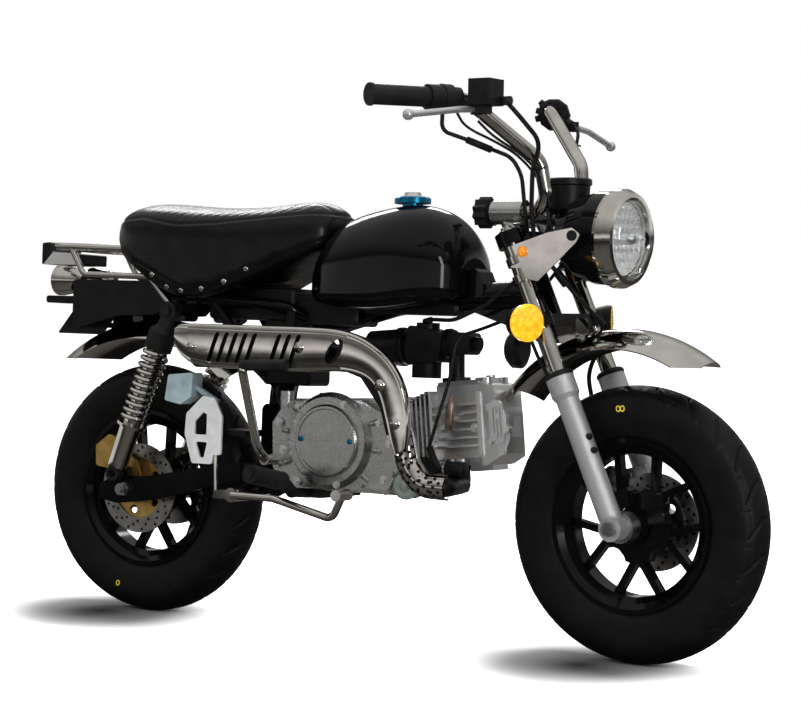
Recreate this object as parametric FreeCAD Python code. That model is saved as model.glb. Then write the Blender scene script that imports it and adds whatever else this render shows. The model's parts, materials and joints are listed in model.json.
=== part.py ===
import FreeCAD, Part
import math
import os

V = FreeCAD.Vector

# Minibike, built upright: +X forward, +Y to its left, +Z up, millimetres, with the
# origin on the ground under the rear axle. The fork assembly is turned about the
# steering axis, then the whole machine is leaned onto its side stand.

# Stance
wheelBase = 920.6
leanAngle = 4.1
restSteer = -4.1
rakeAngle = 24.0

# Wheels and tyres
tyreRadius = 215.0
tyreHalfWidth = 43.0
treadHalfWidth = 31.0
flangeRadius = 135.0
flangeHalfWidth = 34.0
beadSeatRadius = 127.0
rimWellRadius = 115.0
rimWall = 5.0
flangeWall = 4.0
hubRadius = 31.0
hubHalfWidth = 40.0
hubWebRadius = 60.0
hubWebHalfWidth = 13.0
axleRadius = 7.0
spokePairs = 5
spokeWidth = 11.0
spokeDepth = 17.0
spokeFootAngle = 4.5
spokeTurn = 2.5
scallopRadius = 20.0
spokeTipAngle = 19.0
discRadius = 77.0
discThick = 3.5
discOffset = 50.0
discBandWidth = 26.0
carrierThick = 5.0
sprocketRadius = 63.0
driveSprocketRadius = 27.0
chainOffset = 54.0
chainPitch = 12.7
chainWidth = 11.0
chainHeight = 9.0

# Fork
forkHalfSpan = 82.0
forkTubeRadius = 13.5
forkLegRadius = 18.0
forkCollarRadius = 22.0
forkCollarLength = 30.0
forkLegTop = 247.0
forkLength = 487.0
axisOffset = 30.0
bridgeThick = 22.0
lowerBridgeAt = 336.0
headTubeRadius = 25.0
headTubeGap = 3.0
axleBossRadius = 23.0
runClear = 0.4

# Frame
backboneRadius = 23.0
railRadius = 11.0
railHalfSpan = 60.0
swingPivotX = 262.0
swingPivotZ = 262.0
armHalfSpan = 78.0
armThick = 18.0
shockTopX = 90.0
shockTopZ = 521.0
shockLowX = -15.0
shockLowZ = 241.0
shockOffset = 101.0
springRadius = 23.0
springWire = 3.6
springTurns = 11

# Engine
crankX = 425.0
crankZ = 322.0
caseHalfWidth = 60.0
clutchCoverDepth = 40.0
clutchCapRadius = 53.0
cylinderTilt = 6.6
cylinderStart = 106.0
cylinderLength = 42.0
headLength = 149.0
finCount = 4
finThick = 3.2
headFinRows = 6
headFinPitch = 13.2
portAt = 174.0
coverBossRadius = 79.0

# Bodywork
tankHalfWidth = 105.0
tankBottom = 540.0
tankTop = 706.0
seatHalfWidth = 117.0
seatTop = 706.0
fenderRadius = 254.0
fenderHalfWidth = 56.0
fenderArch = 30.0
fenderSkin = 2.5
rearFenderRadius = 297.0
rearFenderHalfWidth = 66.0
lampRadius = 77.0
lampX = 870.0
lampZ = 654.5

# Handlebars
barRadius = 11.0
gripRadius = 16.5
barHalfSpan = 55.0
barClampZ = 693.0
rackHalfSpan = 78.0
rackTube = 6.5

contact = 0.3

# Side stand on the left swing arm, foot spread behind the rear wheel
standPivotX = 32.0
standPivotY = 106.0
standPivotZ = 213.0
standFootX = -70.0
standFootY = 150.0
standLegRadius = 7.5
standFold = 100.0

rake = math.radians(rakeAngle)
axisUp = V(-math.sin(rake), 0, math.cos(rake))
axisFront = V(math.cos(rake), 0, math.sin(rake))
frontAxle = V(wheelBase, 0, tyreRadius)
rearAxle = V(0, 0, tyreRadius)
steerFoot = frontAxle - axisFront * axisOffset
standPivot = V(standPivotX, standPivotY, standPivotZ)
standFoot = V(standFootX, standFootY, standFootY * math.tan(math.radians(leanAngle)))
standAhead = V(0.985, 0.06, -0.14)
standAxis = (standFoot - standPivot).cross(standAhead).normalize()


def box(x0, x1, y0, y1, z0, z1):
    return Part.makeBox(x1 - x0, y1 - y0, z1 - z0, V(x0, y0, z0))


def rod(a, b, r, inner=0.0):
    d = b - a
    s = Part.makeCylinder(r, d.Length, a, d)
    if inner > 0:
        s = s.cut(Part.makeCylinder(inner, d.Length + 2, a - d * (1 / d.Length), d))
    return s


def fuse(shapes):
    s = shapes[0]
    if len(shapes) > 1:
        s = s.multiFuse(shapes[1:])
    return s.removeSplitter()


def mirrored(s):
    return s.mirror(V(0, 0, 0), V(0, 1, 0))


def pathWire(points, bend):
    """Straight runs joined by tangent arcs."""
    edges = []
    here = points[0]
    for i in range(1, len(points) - 1):
        a, b, c = points[i - 1], points[i], points[i + 1]
        u = (a - b).normalize()
        w = (c - b).normalize()
        half = u.getAngle(w) / 2
        if half > math.pi / 2 - 0.01:
            continue
        run = min((a - b).Length, (c - b).Length) * 0.45
        r = min(bend, run * math.tan(half))
        cutBack = r / math.tan(half)
        p = b + u * cutBack
        q = b + w * cutBack
        mid = (u + w).normalize()
        m = b + mid * (r / math.sin(half) - r)
        if (p - here).Length > 0.01:
            edges.append(Part.LineSegment(here, p).toShape())
        edges.append(Part.Arc(p, m, q).toShape())
        here = q
    edges.append(Part.LineSegment(here, points[-1]).toShape())
    return Part.Wire(edges)


def bent(points, r, bend):
    """Round bar along straight runs with tangent arcs at the corners."""
    wire = pathWire(points, bend)
    circle = Part.Wire([Part.makeCircle(r, points[0], points[1] - points[0])])
    s = wire.makePipeShell([circle], True, False)
    return s


def polyFace(points):
    return Part.Face(Part.makePolygon(points + [points[0]]))


def sidePlate(profile, y0, y1):
    """Flat plate drawn in side view as (x, z), between two Y values."""
    return polyFace([V(x, y0, z) for x, z in profile]).extrude(V(0, y1 - y0, 0))


def roundedPlate(profile, y0, y1, r):
    """Side-view plate with every upright corner rounded."""
    s = sidePlate(profile, y0, y1)
    edges = [e for e in s.Edges if abs(abs((e.Vertexes[0].Point - e.Vertexes[1].Point).y)
             - abs(y1 - y0)) < 0.01]
    return s.makeFillet(r, edges)


def spun(profile, centre, turn=360.0, start=0.0):
    """Revolve (radius, y) points about the Y axis through a centre."""
    s = polyFace([V(r, y, 0) for r, y in profile])
    s = s.revolve(V(0, 0, 0), V(0, 1, 0), turn)
    if start:
        s.rotate(V(0, 0, 0), V(0, 1, 0), start)
    s.translate(centre)
    return s


def lathe(profile, base, axis):
    """Revolve (along, radius) points about an axis from a base point."""
    s = polyFace([V(r, 0, a) for a, r in profile]).revolve(V(0, 0, 0), V(0, 0, 1), 360)
    s.Placement = FreeCAD.Placement(base, FreeCAD.Rotation(V(0, 0, 1), axis))
    return s


def archWire(x, bottom, top, half, rise, shoulder, corner):
    """Closed section at one X: flat bottom, rounded corners, upright sides, domed top."""
    zs = top - rise
    zm = bottom + corner
    a = half - shoulder
    big = (a * a + rise * rise - shoulder * shoulder) / (2 * (rise - shoulder))
    cz = top - big
    k = big / (big - shoulder)
    jy = a * k
    jz = cz + (zs - cz) * k
    ang = math.atan2(jz - zs, jy - a) / 2
    sm = (a + shoulder * math.cos(ang), zs + shoulder * math.sin(ang))
    c45 = corner * math.sqrt(0.5)
    yb = half - corner

    def p(y, z):
        return V(x, y, z)
    e = [Part.Arc(p(jy, jz), p(0, top), p(-jy, jz)),
         Part.Arc(p(-jy, jz), p(-sm[0], sm[1]), p(-half, zs)),
         Part.LineSegment(p(-half, zs), p(-half, zm)),
         Part.Arc(p(-half, zm), p(-yb - c45, zm - c45), p(-yb, bottom)),
         Part.LineSegment(p(-yb, bottom), p(yb, bottom)),
         Part.Arc(p(yb, bottom), p(yb + c45, zm - c45), p(half, zm)),
         Part.LineSegment(p(half, zm), p(half, zs)),
         Part.Arc(p(half, zs), p(sm[0], sm[1]), p(jy, jz))]
    return Part.Wire([c.toShape() for c in e])


# Wheels

def makeTyre():
    """Road tyre section in lines and arcs, seated on the rim from flange to flange."""
    sideR = (tyreRadius + flangeRadius) / 2 - 2
    shoulder = tyreRadius - 11
    half = flangeHalfWidth - flangeWall
    wall = tyreHalfWidth
    pts = dict(crownL=V(shoulder, treadHalfWidth, 0), crown=V(tyreRadius, 0, 0),
               crownR=V(shoulder, -treadHalfWidth, 0))
    up = V(flangeRadius + 1.5, half - contact, 0)
    low = V(beadSeatRadius + contact, half - contact, 0)
    well = V(beadSeatRadius + contact, half - 12, 0)

    def flip(p):
        return V(p.x, -p.y, 0)
    e = [Part.Arc(pts["crownR"], pts["crown"], pts["crownL"]).toShape(),
         Part.Arc(pts["crownL"], V(sideR + 6, wall, 0), up).toShape(),
         Part.LineSegment(up, low).toShape(),
         Part.LineSegment(low, well).toShape(),
         Part.LineSegment(well, flip(well)).toShape(),
         Part.LineSegment(flip(well), flip(low)).toShape(),
         Part.LineSegment(flip(low), flip(up)).toShape(),
         Part.Arc(flip(up), V(sideR + 6, -wall, 0), pts["crownR"]).toShape()]
    f = Part.Face(Part.Wire(e))
    return f.revolve(V(0, 0, 0), V(0, 1, 0), 360)


def makeRim():
    """Cast wheel: stepped rim, hub, web and V pairs of spokes as one piece."""
    f, h, b, w, t = flangeRadius, flangeHalfWidth, beadSeatRadius, rimWellRadius, rimWall
    half = [(f, h), (f, h - flangeWall), (b, h - flangeWall), (b, h - 11), (w, h - 16)]
    inner = [(w - t, h - 17), (b - t - 3, h - 8), (f - t - 2, h)]
    prof = half + [(r, -y) for r, y in reversed(half)]
    prof += [(r, -y) for r, y in reversed(inner)] + inner
    rim = spun(prof, V(0, 0, 0))
    hub = spun([(axleRadius + runClear, -hubHalfWidth), (hubRadius - 6, -hubHalfWidth),
                (hubRadius, -hubHalfWidth + 12), (hubRadius, -hubWebHalfWidth - 4),
                (hubWebRadius, -hubWebHalfWidth + 3), (hubWebRadius, hubWebHalfWidth - 3),
                (hubRadius, hubWebHalfWidth + 4), (hubRadius, hubHalfWidth - 12),
                (hubRadius - 6, hubHalfWidth), (axleRadius + runClear, hubHalfWidth)],
               V(0, 0, 0))
    arms = []
    r0 = hubWebRadius - 6
    r1 = rimWellRadius - 3
    for i in range(spokePairs):
        mid = 270 + spokeTurn + i * 360.0 / spokePairs
        for side in (-1, 1):
            a0 = math.radians(mid + side * spokeFootAngle)
            a1 = math.radians(mid + side * spokeTipAngle)
            p = V(r0 * math.cos(a0), 0, r0 * math.sin(a0))
            q = V(r1 * math.cos(a1), 0, r1 * math.sin(a1))
            d = (q - p).normalize()
            n = V(-d.z, 0, d.x) * (spokeWidth / 2)
            face = polyFace([p + n, q + n, q - n, p - n])
            face.translate(V(0, -spokeDepth / 2, 0))
            arms.append(face.extrude(V(0, spokeDepth, 0)))
    for i in range(spokePairs):
        a = math.radians(270 + spokeTurn + (i + 0.5) * 360.0 / spokePairs)
        c = V((hubWebRadius + 9) * math.cos(a), 0, (hubWebRadius + 9) * math.sin(a))
        hub = hub.cut(rod(c - V(0, 60, 0), c + V(0, 60, 0), scallopRadius))
    return fuse([rim, hub] + arms)


def makeDisc(side):
    """Brake disc band on a five-arm carrier; side is +1 left, -1 right."""
    band = spun([(discRadius, 0), (discRadius, discThick),
                 (discRadius - discBandWidth, discThick), (discRadius - discBandWidth, 0)],
                V(0, 0, 0))
    ring = spun([(discRadius - discBandWidth + 3, -carrierThick), (discRadius - discBandWidth + 3, 0),
                 (axleRadius + 9, 0), (axleRadius + 9, -carrierThick)], V(0, 0, 0))
    holes = []
    for i in range(5):
        a = math.radians(72 * i + 36)
        r = discRadius - discBandWidth - 12
        c = V(r * math.cos(a), -carrierThick - 1, r * math.sin(a))
        holes.append(Part.makeCylinder(7.5, carrierThick + 2, c, V(0, 1, 0)))
    ring = ring.cut(Part.makeCompound(holes))
    seat = discOffset - discThick / 2 - hubHalfWidth
    boss = spun([(axleRadius + 9, -seat), (hubRadius - 6, -seat), (hubRadius - 6, -carrierThick),
                 (axleRadius + 9, -carrierThick)], V(0, 0, 0))
    s = fuse([band, ring, boss])
    s.translate(V(0, discOffset - discThick / 2, 0))
    if side < 0:
        s = mirrored(s)
    return s


def makeSprocket():
    """Driven sprocket, its teeth standing between the chain's links."""
    teeth = int(round(2 * math.pi * sprocketRadius / chainPitch))
    pts = []
    for i in range(teeth):
        for off, r in ((0.0, sprocketRadius - 3.5), (0.25, sprocketRadius - 3.5),
                       (0.45, sprocketRadius + 3), (0.8, sprocketRadius + 3)):
            a = 2 * math.pi * (i + off) / teeth
            pts.append(V(r * math.cos(a), chainOffset - 2.5, r * math.sin(a)))
    s = polyFace(pts).extrude(V(0, 5, 0))
    hole = Part.makeCylinder(axleRadius + 9, 12, V(0, chainOffset - 6, 0), V(0, 1, 0))
    cuts = [hole]
    for i in range(4):
        a = math.radians(90 * i + 45)
        c = V(38 * math.cos(a), chainOffset - 6, 38 * math.sin(a))
        cuts.append(Part.makeCylinder(11, 12, c, V(0, 1, 0)))
    s = s.cut(Part.makeCompound(cuts))
    boss = spun([(axleRadius + 9, hubHalfWidth), (hubRadius - 8, hubHalfWidth),
                 (hubRadius - 8, chainOffset + 2.5), (axleRadius + 9, chainOffset + 2.5)],
                V(0, 0, 0))
    return fuse([s, boss])


# Frame and running gear

def makeFrame():
    """Head tube, backbone, seat rails, pivot plates and engine hangers."""
    headLow = steerFoot + axisUp * (lowerBridgeAt + bridgeThick / 2 + headTubeGap)
    headTop = steerFoot + axisUp * (forkLength - bridgeThick - headTubeGap)
    head = rod(headLow, headTop, headTubeRadius)
    mid = headLow + (headTop - headLow) * 0.42
    spine = bent([mid, V(620, 0, 559), V(480, 0, 550), V(330, 0, 505),
                  V(swingPivotX - 2, 0, swingPivotZ + 160), V(swingPivotX - 8, 0, swingPivotZ + 60)],
                 backboneRadius, 120)
    gusset = sidePlate([(headLow.x - 8, headLow.z + 12), (headLow.x - 60, 512),
                        (headLow.x - 130, 535), (mid.x, mid.z)], -9, 9)
    parts = [head, spine, gusset]
    for s in (-1, 1):
        y = s * railHalfSpan
        parts.append(bent([V(330, s * 12, 512), V(296, y, 534), V(120, y, 549),
                           V(-120, y, 556)], railRadius, 40))
        parts.append(bent([V(swingPivotX - 6, s * 14, swingPivotZ + 140), V(206, y, 470),
                           V(150, y, 547)], 9, 40))
        parts.append(roundedPlate([(swingPivotX - 18, swingPivotZ - 56),
                                   (swingPivotX + 30, swingPivotZ - 40),
                                   (swingPivotX + 30, swingPivotZ + 90),
                                   (swingPivotX - 18, swingPivotZ + 120)],
                                  s * 40 - 3, s * 40 + 3, 12))
        parts.append(rod(V(shockTopX, s * (railHalfSpan - 4), shockTopZ),
                         V(shockTopX, s * (shockOffset + 12), shockTopZ), 6))
        parts.append(roundedPlate([(shockTopX - 20, shockTopZ - 16), (shockTopX + 24, shockTopZ - 16),
                                   (shockTopX + 30, shockTopZ + 26), (shockTopX - 26, shockTopZ + 26)],
                                  s * railHalfSpan - 5, s * railHalfSpan + 5, 9))
    parts.append(rod(V(swingPivotX, -62, swingPivotZ), V(swingPivotX, 62, swingPivotZ), 8))
    parts.append(rod(V(swingPivotX + 4, -43, swingPivotZ + 84),
                     V(swingPivotX + 4, 43, swingPivotZ + 84), 9))
    parts.append(rod(V(-60, -railHalfSpan, 554), V(-60, railHalfSpan, 554), 8))
    parts.append(rod(V(150, -railHalfSpan, 547), V(150, railHalfSpan, 547), 8))
    hump = roundedPlate([(619, 562), (619, 600), (626, 606), (636, 600), (645, 580), (646, 562)],
                        -24, 24, 5)
    return fuse(parts + [hump])


def makeSwingArm():
    parts = []
    for s in (-1, 1):
        y0, y1 = s * armHalfSpan - armThick / 2, s * armHalfSpan + armThick / 2
        side = [(-58, tyreRadius - 20), (-58, tyreRadius + 6), (-24, tyreRadius + 22),
                (40, tyreRadius + 24), (swingPivotX - 30, swingPivotZ + 12),
                (swingPivotX + 16, swingPivotZ + 10), (swingPivotX + 16, swingPivotZ - 16),
                (swingPivotX - 40, swingPivotZ - 20), (60, tyreRadius - 16),
                (-20, tyreRadius - 26)]
        arm = roundedPlate(side, y0, y1, 6)
        arm = arm.cut(rod(V(0, y0 - 1, tyreRadius), V(0, y1 + 1, tyreRadius),
                          axleRadius + runClear))
        lug = roundedPlate([(shockLowX - 13, tyreRadius + 4), (shockLowX + 15, tyreRadius + 4),
                            (shockLowX + 13, shockLowZ + 12), (shockLowX - 13, shockLowZ + 12)],
                           y0 + 3, y1 - 3, 8)
        pin = rod(V(shockLowX, s * (armHalfSpan - 4), shockLowZ),
                  V(shockLowX, s * (shockOffset + 12), shockLowZ), 6)
        parts += [arm, lug, pin]
    cross = rod(V(swingPivotX, -armHalfSpan + 5, swingPivotZ),
                V(swingPivotX, armHalfSpan - 5, swingPivotZ), 14)
    arm = fuse(parts)
    ends = [rod(V(swingPivotX, s * 44, swingPivotZ), V(swingPivotX, s * (armHalfSpan - 5), swingPivotZ),
                14) for s in (-1, 1)]
    brace = rod(V(swingPivotX - 32, -armHalfSpan, swingPivotZ),
                V(swingPivotX - 32, armHalfSpan, swingPivotZ), 9)
    arm = fuse([arm, brace] + ends)
    return arm.cut(rod(V(swingPivotX, -90, swingPivotZ), V(swingPivotX, 90, swingPivotZ), 8.2))


def makeRearAxle():
    """Rear spindle with its nuts and spacers, held in the swing arm."""
    out = armHalfSpan + armThick / 2
    parts = [rod(V(0, -out - 12, tyreRadius), V(0, out + 12, tyreRadius), axleRadius)]
    for s in (-1, 1):
        parts.append(Part.makeCylinder(11, 9, V(0, s * out if s > 0 else -out - 9, tyreRadius),
                                       V(0, 1, 0)))
        a = V(0, s * (hubHalfWidth + 21), tyreRadius)
        parts.append(rod(a, V(0, s * (armHalfSpan - armThick / 2), tyreRadius), 12))
    return fuse(parts)


def shockAxis():
    top = V(shockTopX, 0, shockTopZ)
    low = V(shockLowX, 0, shockLowZ)
    return low, top, (top - low)


def makeShocks():
    """Damper pair: eyes, lower body, rod, spring seat and top cap."""
    out = []
    low, top, d = shockAxis()
    n = V(d).normalize()
    for s in (-1, 1):
        y = s * shockOffset
        a, b = low + V(0, y, 0), top + V(0, y, 0)
        eyes = [rod(p + V(0, -9, 0), p + V(0, 9, 0), r) for p, r in ((a, 13), (b, 17))]
        body = lathe([(6, 0), (6, 11), (14, 17), (88, 18.5), (88, 25), (93, 25), (93, 15),
                      (230, 14), (230, 24), (262, 24), (272, 15), (d.Length - 10, 12),
                      (d.Length - 10, 0)], a, n)
        unit = fuse(eyes + [body])
        for p in (a, b):
            unit = unit.cut(rod(p + V(0, -20, 0), p + V(0, 20, 0), 6.2))
        out.append(unit)
    return Part.makeCompound(out)


def makeSprings():
    """Coil springs between the seat on the lower body and the top cap."""
    low, top, d = shockAxis()
    n = V(d).normalize()
    out = []
    start, stop = 93 + springWire + 0.3, 230 - springWire - 0.3
    for s in (-1, 1):
        pitch = (stop - start) / springTurns
        helix = Part.makeHelix(pitch, stop - start, springRadius - springWire + 1)
        r = springRadius - springWire + 1
        pts = []
        for i in range(6):
            a = math.pi / 3 * i
            pts.append(V(r + springWire * math.cos(a), 0, springWire * math.sin(a)))
        prof = Part.makePolygon(pts + [pts[0]])
        coil = Part.Wire(helix.Edges).makePipeShell([prof], True, True)
        base = low + V(0, s * shockOffset, 0) + n * start
        coil.Placement = FreeCAD.Placement(base, FreeCAD.Rotation(V(0, 0, 1), n))
        out.append(coil)
    return Part.makeCompound(out)


def makeChain():
    """Closed roller chain around both sprockets, one plate pair per pitch."""
    r1, r2 = sprocketRadius, driveSprocketRadius
    c1 = V(0, chainOffset, tyreRadius)
    c2 = V(swingPivotX + 82, chainOffset, swingPivotZ + 22)
    d = c2 - c1
    base = math.atan2(d.z, d.x)
    tilt = math.acos((r1 - r2) / d.Length)
    outer = []
    for grow in (chainHeight / 2, -chainHeight / 2):
        a, b = base + tilt, base - tilt

        def at(c, r, ang):
            return V(c.x + r * math.cos(ang), chainOffset - chainWidth / 2, c.z + r * math.sin(ang))
        e = [Part.Arc(at(c1, r1 + grow, a), at(c1, r1 + grow, base + math.pi),
                      at(c1, r1 + grow, b)).toShape(),
             Part.LineSegment(at(c1, r1 + grow, b), at(c2, r2 + grow, b)).toShape(),
             Part.Arc(at(c2, r2 + grow, b), at(c2, r2 + grow, base),
                      at(c2, r2 + grow, a)).toShape(),
             Part.LineSegment(at(c2, r2 + grow, a), at(c1, r1 + grow, a)).toShape()]
        outer.append(Part.Face(Part.Wire(e)))
    band = outer[0].cut(outer[1])
    sides = []
    for off in (0, chainWidth - 2):
        f = band.copy()
        f.translate(V(0, off, 0))
        sides.append(f.extrude(V(0, 2, 0)))
    return Part.makeCompound(sides)


# Engine

tilt = math.radians(cylinderTilt)
cylDir = V(math.cos(tilt), 0, math.sin(tilt))
cylUp = V(-math.sin(tilt), 0, math.cos(tilt))
crank = V(crankX, 0, crankZ)


def cylBlock(s0, s1, low, high, y0, y1):
    """Block along the cylinder axis: s along it, low and high across it."""
    f = polyFace([crank + cylDir * s0 + cylUp * low + V(0, y0, 0),
                  crank + cylDir * s1 + cylUp * low + V(0, y0, 0),
                  crank + cylDir * s1 + cylUp * high + V(0, y0, 0),
                  crank + cylDir * s0 + cylUp * high + V(0, y0, 0)])
    return f.extrude(V(0, y1 - y0, 0))


def makeCrankcase():
    prof = [(300, 262), (296, 350), (322, 384), (500, 392),
            (crankX + cylinderStart - 6, 396), (crankX + cylinderStart + 4, 290),
            (566, 276), (592, 256), (588, 240), (520, 236), (330, 236)]
    s = roundedPlate(prof, -caseHalfWidth, caseHalfWidth, 7)
    s = s.fuse(Part.makeCylinder(13, 14, V(345, 0, 380)))
    lug = roundedPlate([(258, 330), (305, 322), (305, 362), (258, 362)], -30, 30, 6)
    bay = box(280, swingPivotX + 120, 44, caseHalfWidth + 1, 242, 328)
    return fuse([s, lug]).cut(bay)


def makeClutchCover():
    """Right cover: flange, round boss with its bevelled ring and cap, filler and filter cup."""
    y1 = -caseHalfWidth - contact
    y0 = y1 - clutchCoverDepth
    prof = [(300, 268), (296, 344), (322, 380), (450, 386), (512, 366), (530, 330),
            (540, 282), (520, 244), (338, 240)]
    s = roundedPlate(prof, y0 + 12, y1, 9)
    boss = Part.makeCone(coverBossRadius, coverBossRadius - 8, 12, V(410, y0 + 12, 319),
                         V(0, -1, 0))
    ring = spun([(clutchCapRadius + 6, y0 + 2), (clutchCapRadius + 6, y0 - 4),
                 (clutchCapRadius + 3, y0 - 7), (clutchCapRadius - 1, y0 - 7),
                 (clutchCapRadius - 3, y0 - 4), (clutchCapRadius - 3, y0 + 2)], V(410, 0, 319))
    cap = Part.makeCylinder(clutchCapRadius - 2, 6, V(410, y0 + 1, 319), V(0, -1, 0))
    filt = Part.makeCylinder(21.5, 26, V(560, y0 + 26, 256), V(0, -1, 0))
    filtRim = Part.makeCylinder(14, 28, V(560, y0 + 26, 256), V(0, -1, 0))
    hold = roundedPlate([(524, 244), (530, 284), (566, 280), (584, 262), (578, 240)], y0 + 18, y1, 6)
    neck = Part.makeCylinder(12, 30, V(318, y0 + 20, 366))
    ribs = [rod(V(410 + (coverBossRadius + 2) * math.cos(math.radians(a)), y0 + 13,
                  319 + (coverBossRadius + 2) * math.sin(math.radians(a))),
                V(410 + (coverBossRadius + 16) * math.cos(math.radians(a)), y0 + 15,
                  319 + (coverBossRadius + 16) * math.sin(math.radians(a))), 5)
            for a in (-40, -8, 22, 145, 172, 205)]
    screws = [rod(V(x, y0 + 13, z), V(x, y0 + 7, z), 5.5)
              for x, z in ((312, 348), (310, 276), (350, 250), (470, 252), (526, 272), (516, 350),
                           (455, 376), (335, 372))]
    return fuse([s, boss, ring, cap, filt, filtRim, hold, neck] + ribs + screws)


def makeGeneratorCover():
    y0 = caseHalfWidth - 1
    a = Part.makeCone(64, 58, 30, V(crankX + 5, y0, crankZ - 2), V(0, 1, 0))
    low = roundedPlate([(302, 258), (302, 330), (420, 372), (500, 340), (520, 262), (480, 242)],
                       y0, y0 + 18, 10)
    return fuse([a, low])


def cylPoint(s, w, y=0.0):
    return crank + cylDir * s + cylUp * w + V(0, y, 0)


def makeCylinder():
    """Barrel with deep fins across its axis, on its base flange."""
    s0, s1 = cylinderStart, cylinderStart + cylinderLength
    core = cylBlock(s0, s1, -36, 44, -38, 38)
    base = cylBlock(s0, s0 + 7, -50, 54, -46, 46)
    step = (s1 - s0 - 9) / finCount
    fins = []
    for i in range(finCount):
        a = s0 + 10 + step * i
        high = 58 + 3 * i
        f = cylBlock(a, a + finThick, -52, high, -50, 50)
        f = f.makeFillet(8, [e for e in f.Edges
                             if abs((e.Vertexes[0].Point - e.Vertexes[1].Point).Length - finThick) < 0.01])
        fins.append(f)
    return fuse([core, base] + fins)


def makeHead():
    """Cylinder head: plain port block, side fins along the axis, rocker nose and ribbed cover."""
    s0 = cylinderStart + cylinderLength + contact
    s1 = s0 + headLength
    nose = s1 - 58
    core = cylBlock(s0, nose + 6, -44, 60, -36, 38)
    deck = cylBlock(s0, s0 + 5, -50, 66, -48, 48)
    across = [(-40, 40), (-40, 72), (-32, 80), (32, 80), (40, 72), (40, 40)]
    block = polyFace([cylPoint(portAt - 14, w, y) for y, w in across]
                     ).extrude(cylDir * (nose + 22 - portAt))
    plan = [(nose, -50), (s1 - 26, -53), (s1 - 6, -50), (s1, -24), (s1 - 12, 12), (s1 - 28, 42),
            (nose, 47)]
    wide = polyFace([cylPoint(a, -90, y) for a, y in plan]).extrude(cylUp * 190)
    side = [(nose, 76), (s1 - 29, 68), (s1 - 27, 52), (s1 - 22, 32), (s1 - 3, 17), (s1 - 5, -16),
            (s1 - 16, -41), (nose + 8, -57), (nose, -58)]
    tall = polyFace([cylPoint(a, w, -60) for a, w in side]).extrude(V(0, 120, 0))
    rocker = wide.common(tall)
    fins = []
    for i in range(headFinRows):
        w = 41.5 - i * headFinPitch
        for y0, y1 in ((-52, -34), (36, 50)):
            fins.append(cylBlock(s0 + 3 + (i % 2) * 2, nose + 2, w - 1.8, w + 1.8, y0, y1))
    flange = cylBlock(nose - 2, nose + 4, -40, 60, -54, 50)
    mid = s1 - 19
    oval = [(mid - 15, -14), (mid - 6, -26), (mid + 5, -24), (mid + 13, -4), (mid + 14, 16),
            (mid + 8, 36), (mid - 1, 44), (mid - 11, 43), (mid - 17, 30), (mid - 17, 8)]
    cover = polyFace([cylPoint(a, w, -60) for a, w in oval]).extrude(V(0, 10, 0))
    ribs = [cylBlock(mid - 11 + i * 6, mid - 8 + i * 6, -14, 34, -64, -59) for i in range(4)]
    lobes = [rod(cylPoint(a, w, -50), cylPoint(a, w, -62), 6.5)
             for a, w in ((mid - 14, 34), (mid - 10, -14), (mid + 12, -2))]
    studs = [rod(cylPoint(a, w - 4), cylPoint(a, w + 6), 7) for a, w in ((s0 + 90, 80), (s0 + 70, 78))]
    ears = [rod(cylPoint(nose + 4, 62, k * 26), cylPoint(nose + 4, 82, k * 26), 11) for k in (-1, 1)]
    foot = cylBlock(nose - 34, nose + 6, -66, -40, -26, 26)
    port = rod(cylPoint(portAt, -38), cylPoint(portAt, -57), 20)
    plug = rod(cylPoint(184, 22, -34), cylPoint(184, 22, -66), 6.5)
    hexNut = rod(cylPoint(184, 22, -48), cylPoint(184, 22, -56), 9.5)
    return fuse([core, deck, block, rocker, flange, cover, foot, port, plug, hexNut] + fins + ribs
                + lobes + studs + ears)


def makeCarburettor():
    """Intake stub and elbow from the head, slide carburettor and its air funnel."""
    foot = cylPoint(portAt + 2, 80 + contact)
    top = V(foot.x - 2, 0, 470)
    stub = rod(foot, top, 13)
    flange = cylBlock(portAt - 10, portAt + 14, 80 + contact, 87, -26, 26)
    elbow = roundedPlate([(584, 466), (622, 466), (622, 502), (584, 502)], -20, 20, 7)
    knob = rod(V(618, 0, 484), V(631, 0, 483), 12)
    body = rod(V(586, 0, 484), V(498, 0, 476), 22)
    chamber = rod(V(534, 0, 516), V(534, 0, 440), 19)
    bowl = rod(V(534, 0, 452), V(534, 0, 426), 24)
    side = roundedPlate([(508, 452), (572, 452), (576, 500), (512, 512)], -30, 30, 8)
    funnel = rod(V(500, 0, 476), V(432, 0, 470), 30)
    clampA = rod(V(580, 0, 483.5), V(572, 0, 482.8), 24.5)
    clampB = rod(V(492, 0, 475.5), V(484, 0, 475), 32)
    return fuse([stub, flange, elbow, knob, body, chamber, bowl, side, funnel, clampA, clampB])


def makeExhaust():
    """Header from the underside of the head, swept up the right side to the silencer."""
    pipe = bent([cylPoint(portAt, -57 - contact), cylPoint(portAt + 2, -86, -4), V(646, -128, 258),
                 V(604, -128, 260), V(580, -128, 292), V(567, -129, 345), V(546, -130, 408),
                 V(504, -130, 458), V(430, -130, 462)], 14.5, 42)
    nutPlate = rod(cylPoint(portAt, -57 - contact), cylPoint(portAt + 0.5, -64), 22)
    can = lathe([(0, 0), (0, 16), (18, 30), (250, 30), (262, 22), (262, 0)], V(436, -130, 462),
                V(-1, 0, 0))
    can = can.cut(rod(V(170, -130, 462), V(200, -130, 462), 12))
    stay = box(300, 316, -122, -57, 486, 492).fuse(box(300, 316, -63, -57, 486, 528))
    return fuse([pipe, nutPlate, can, stay])


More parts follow.
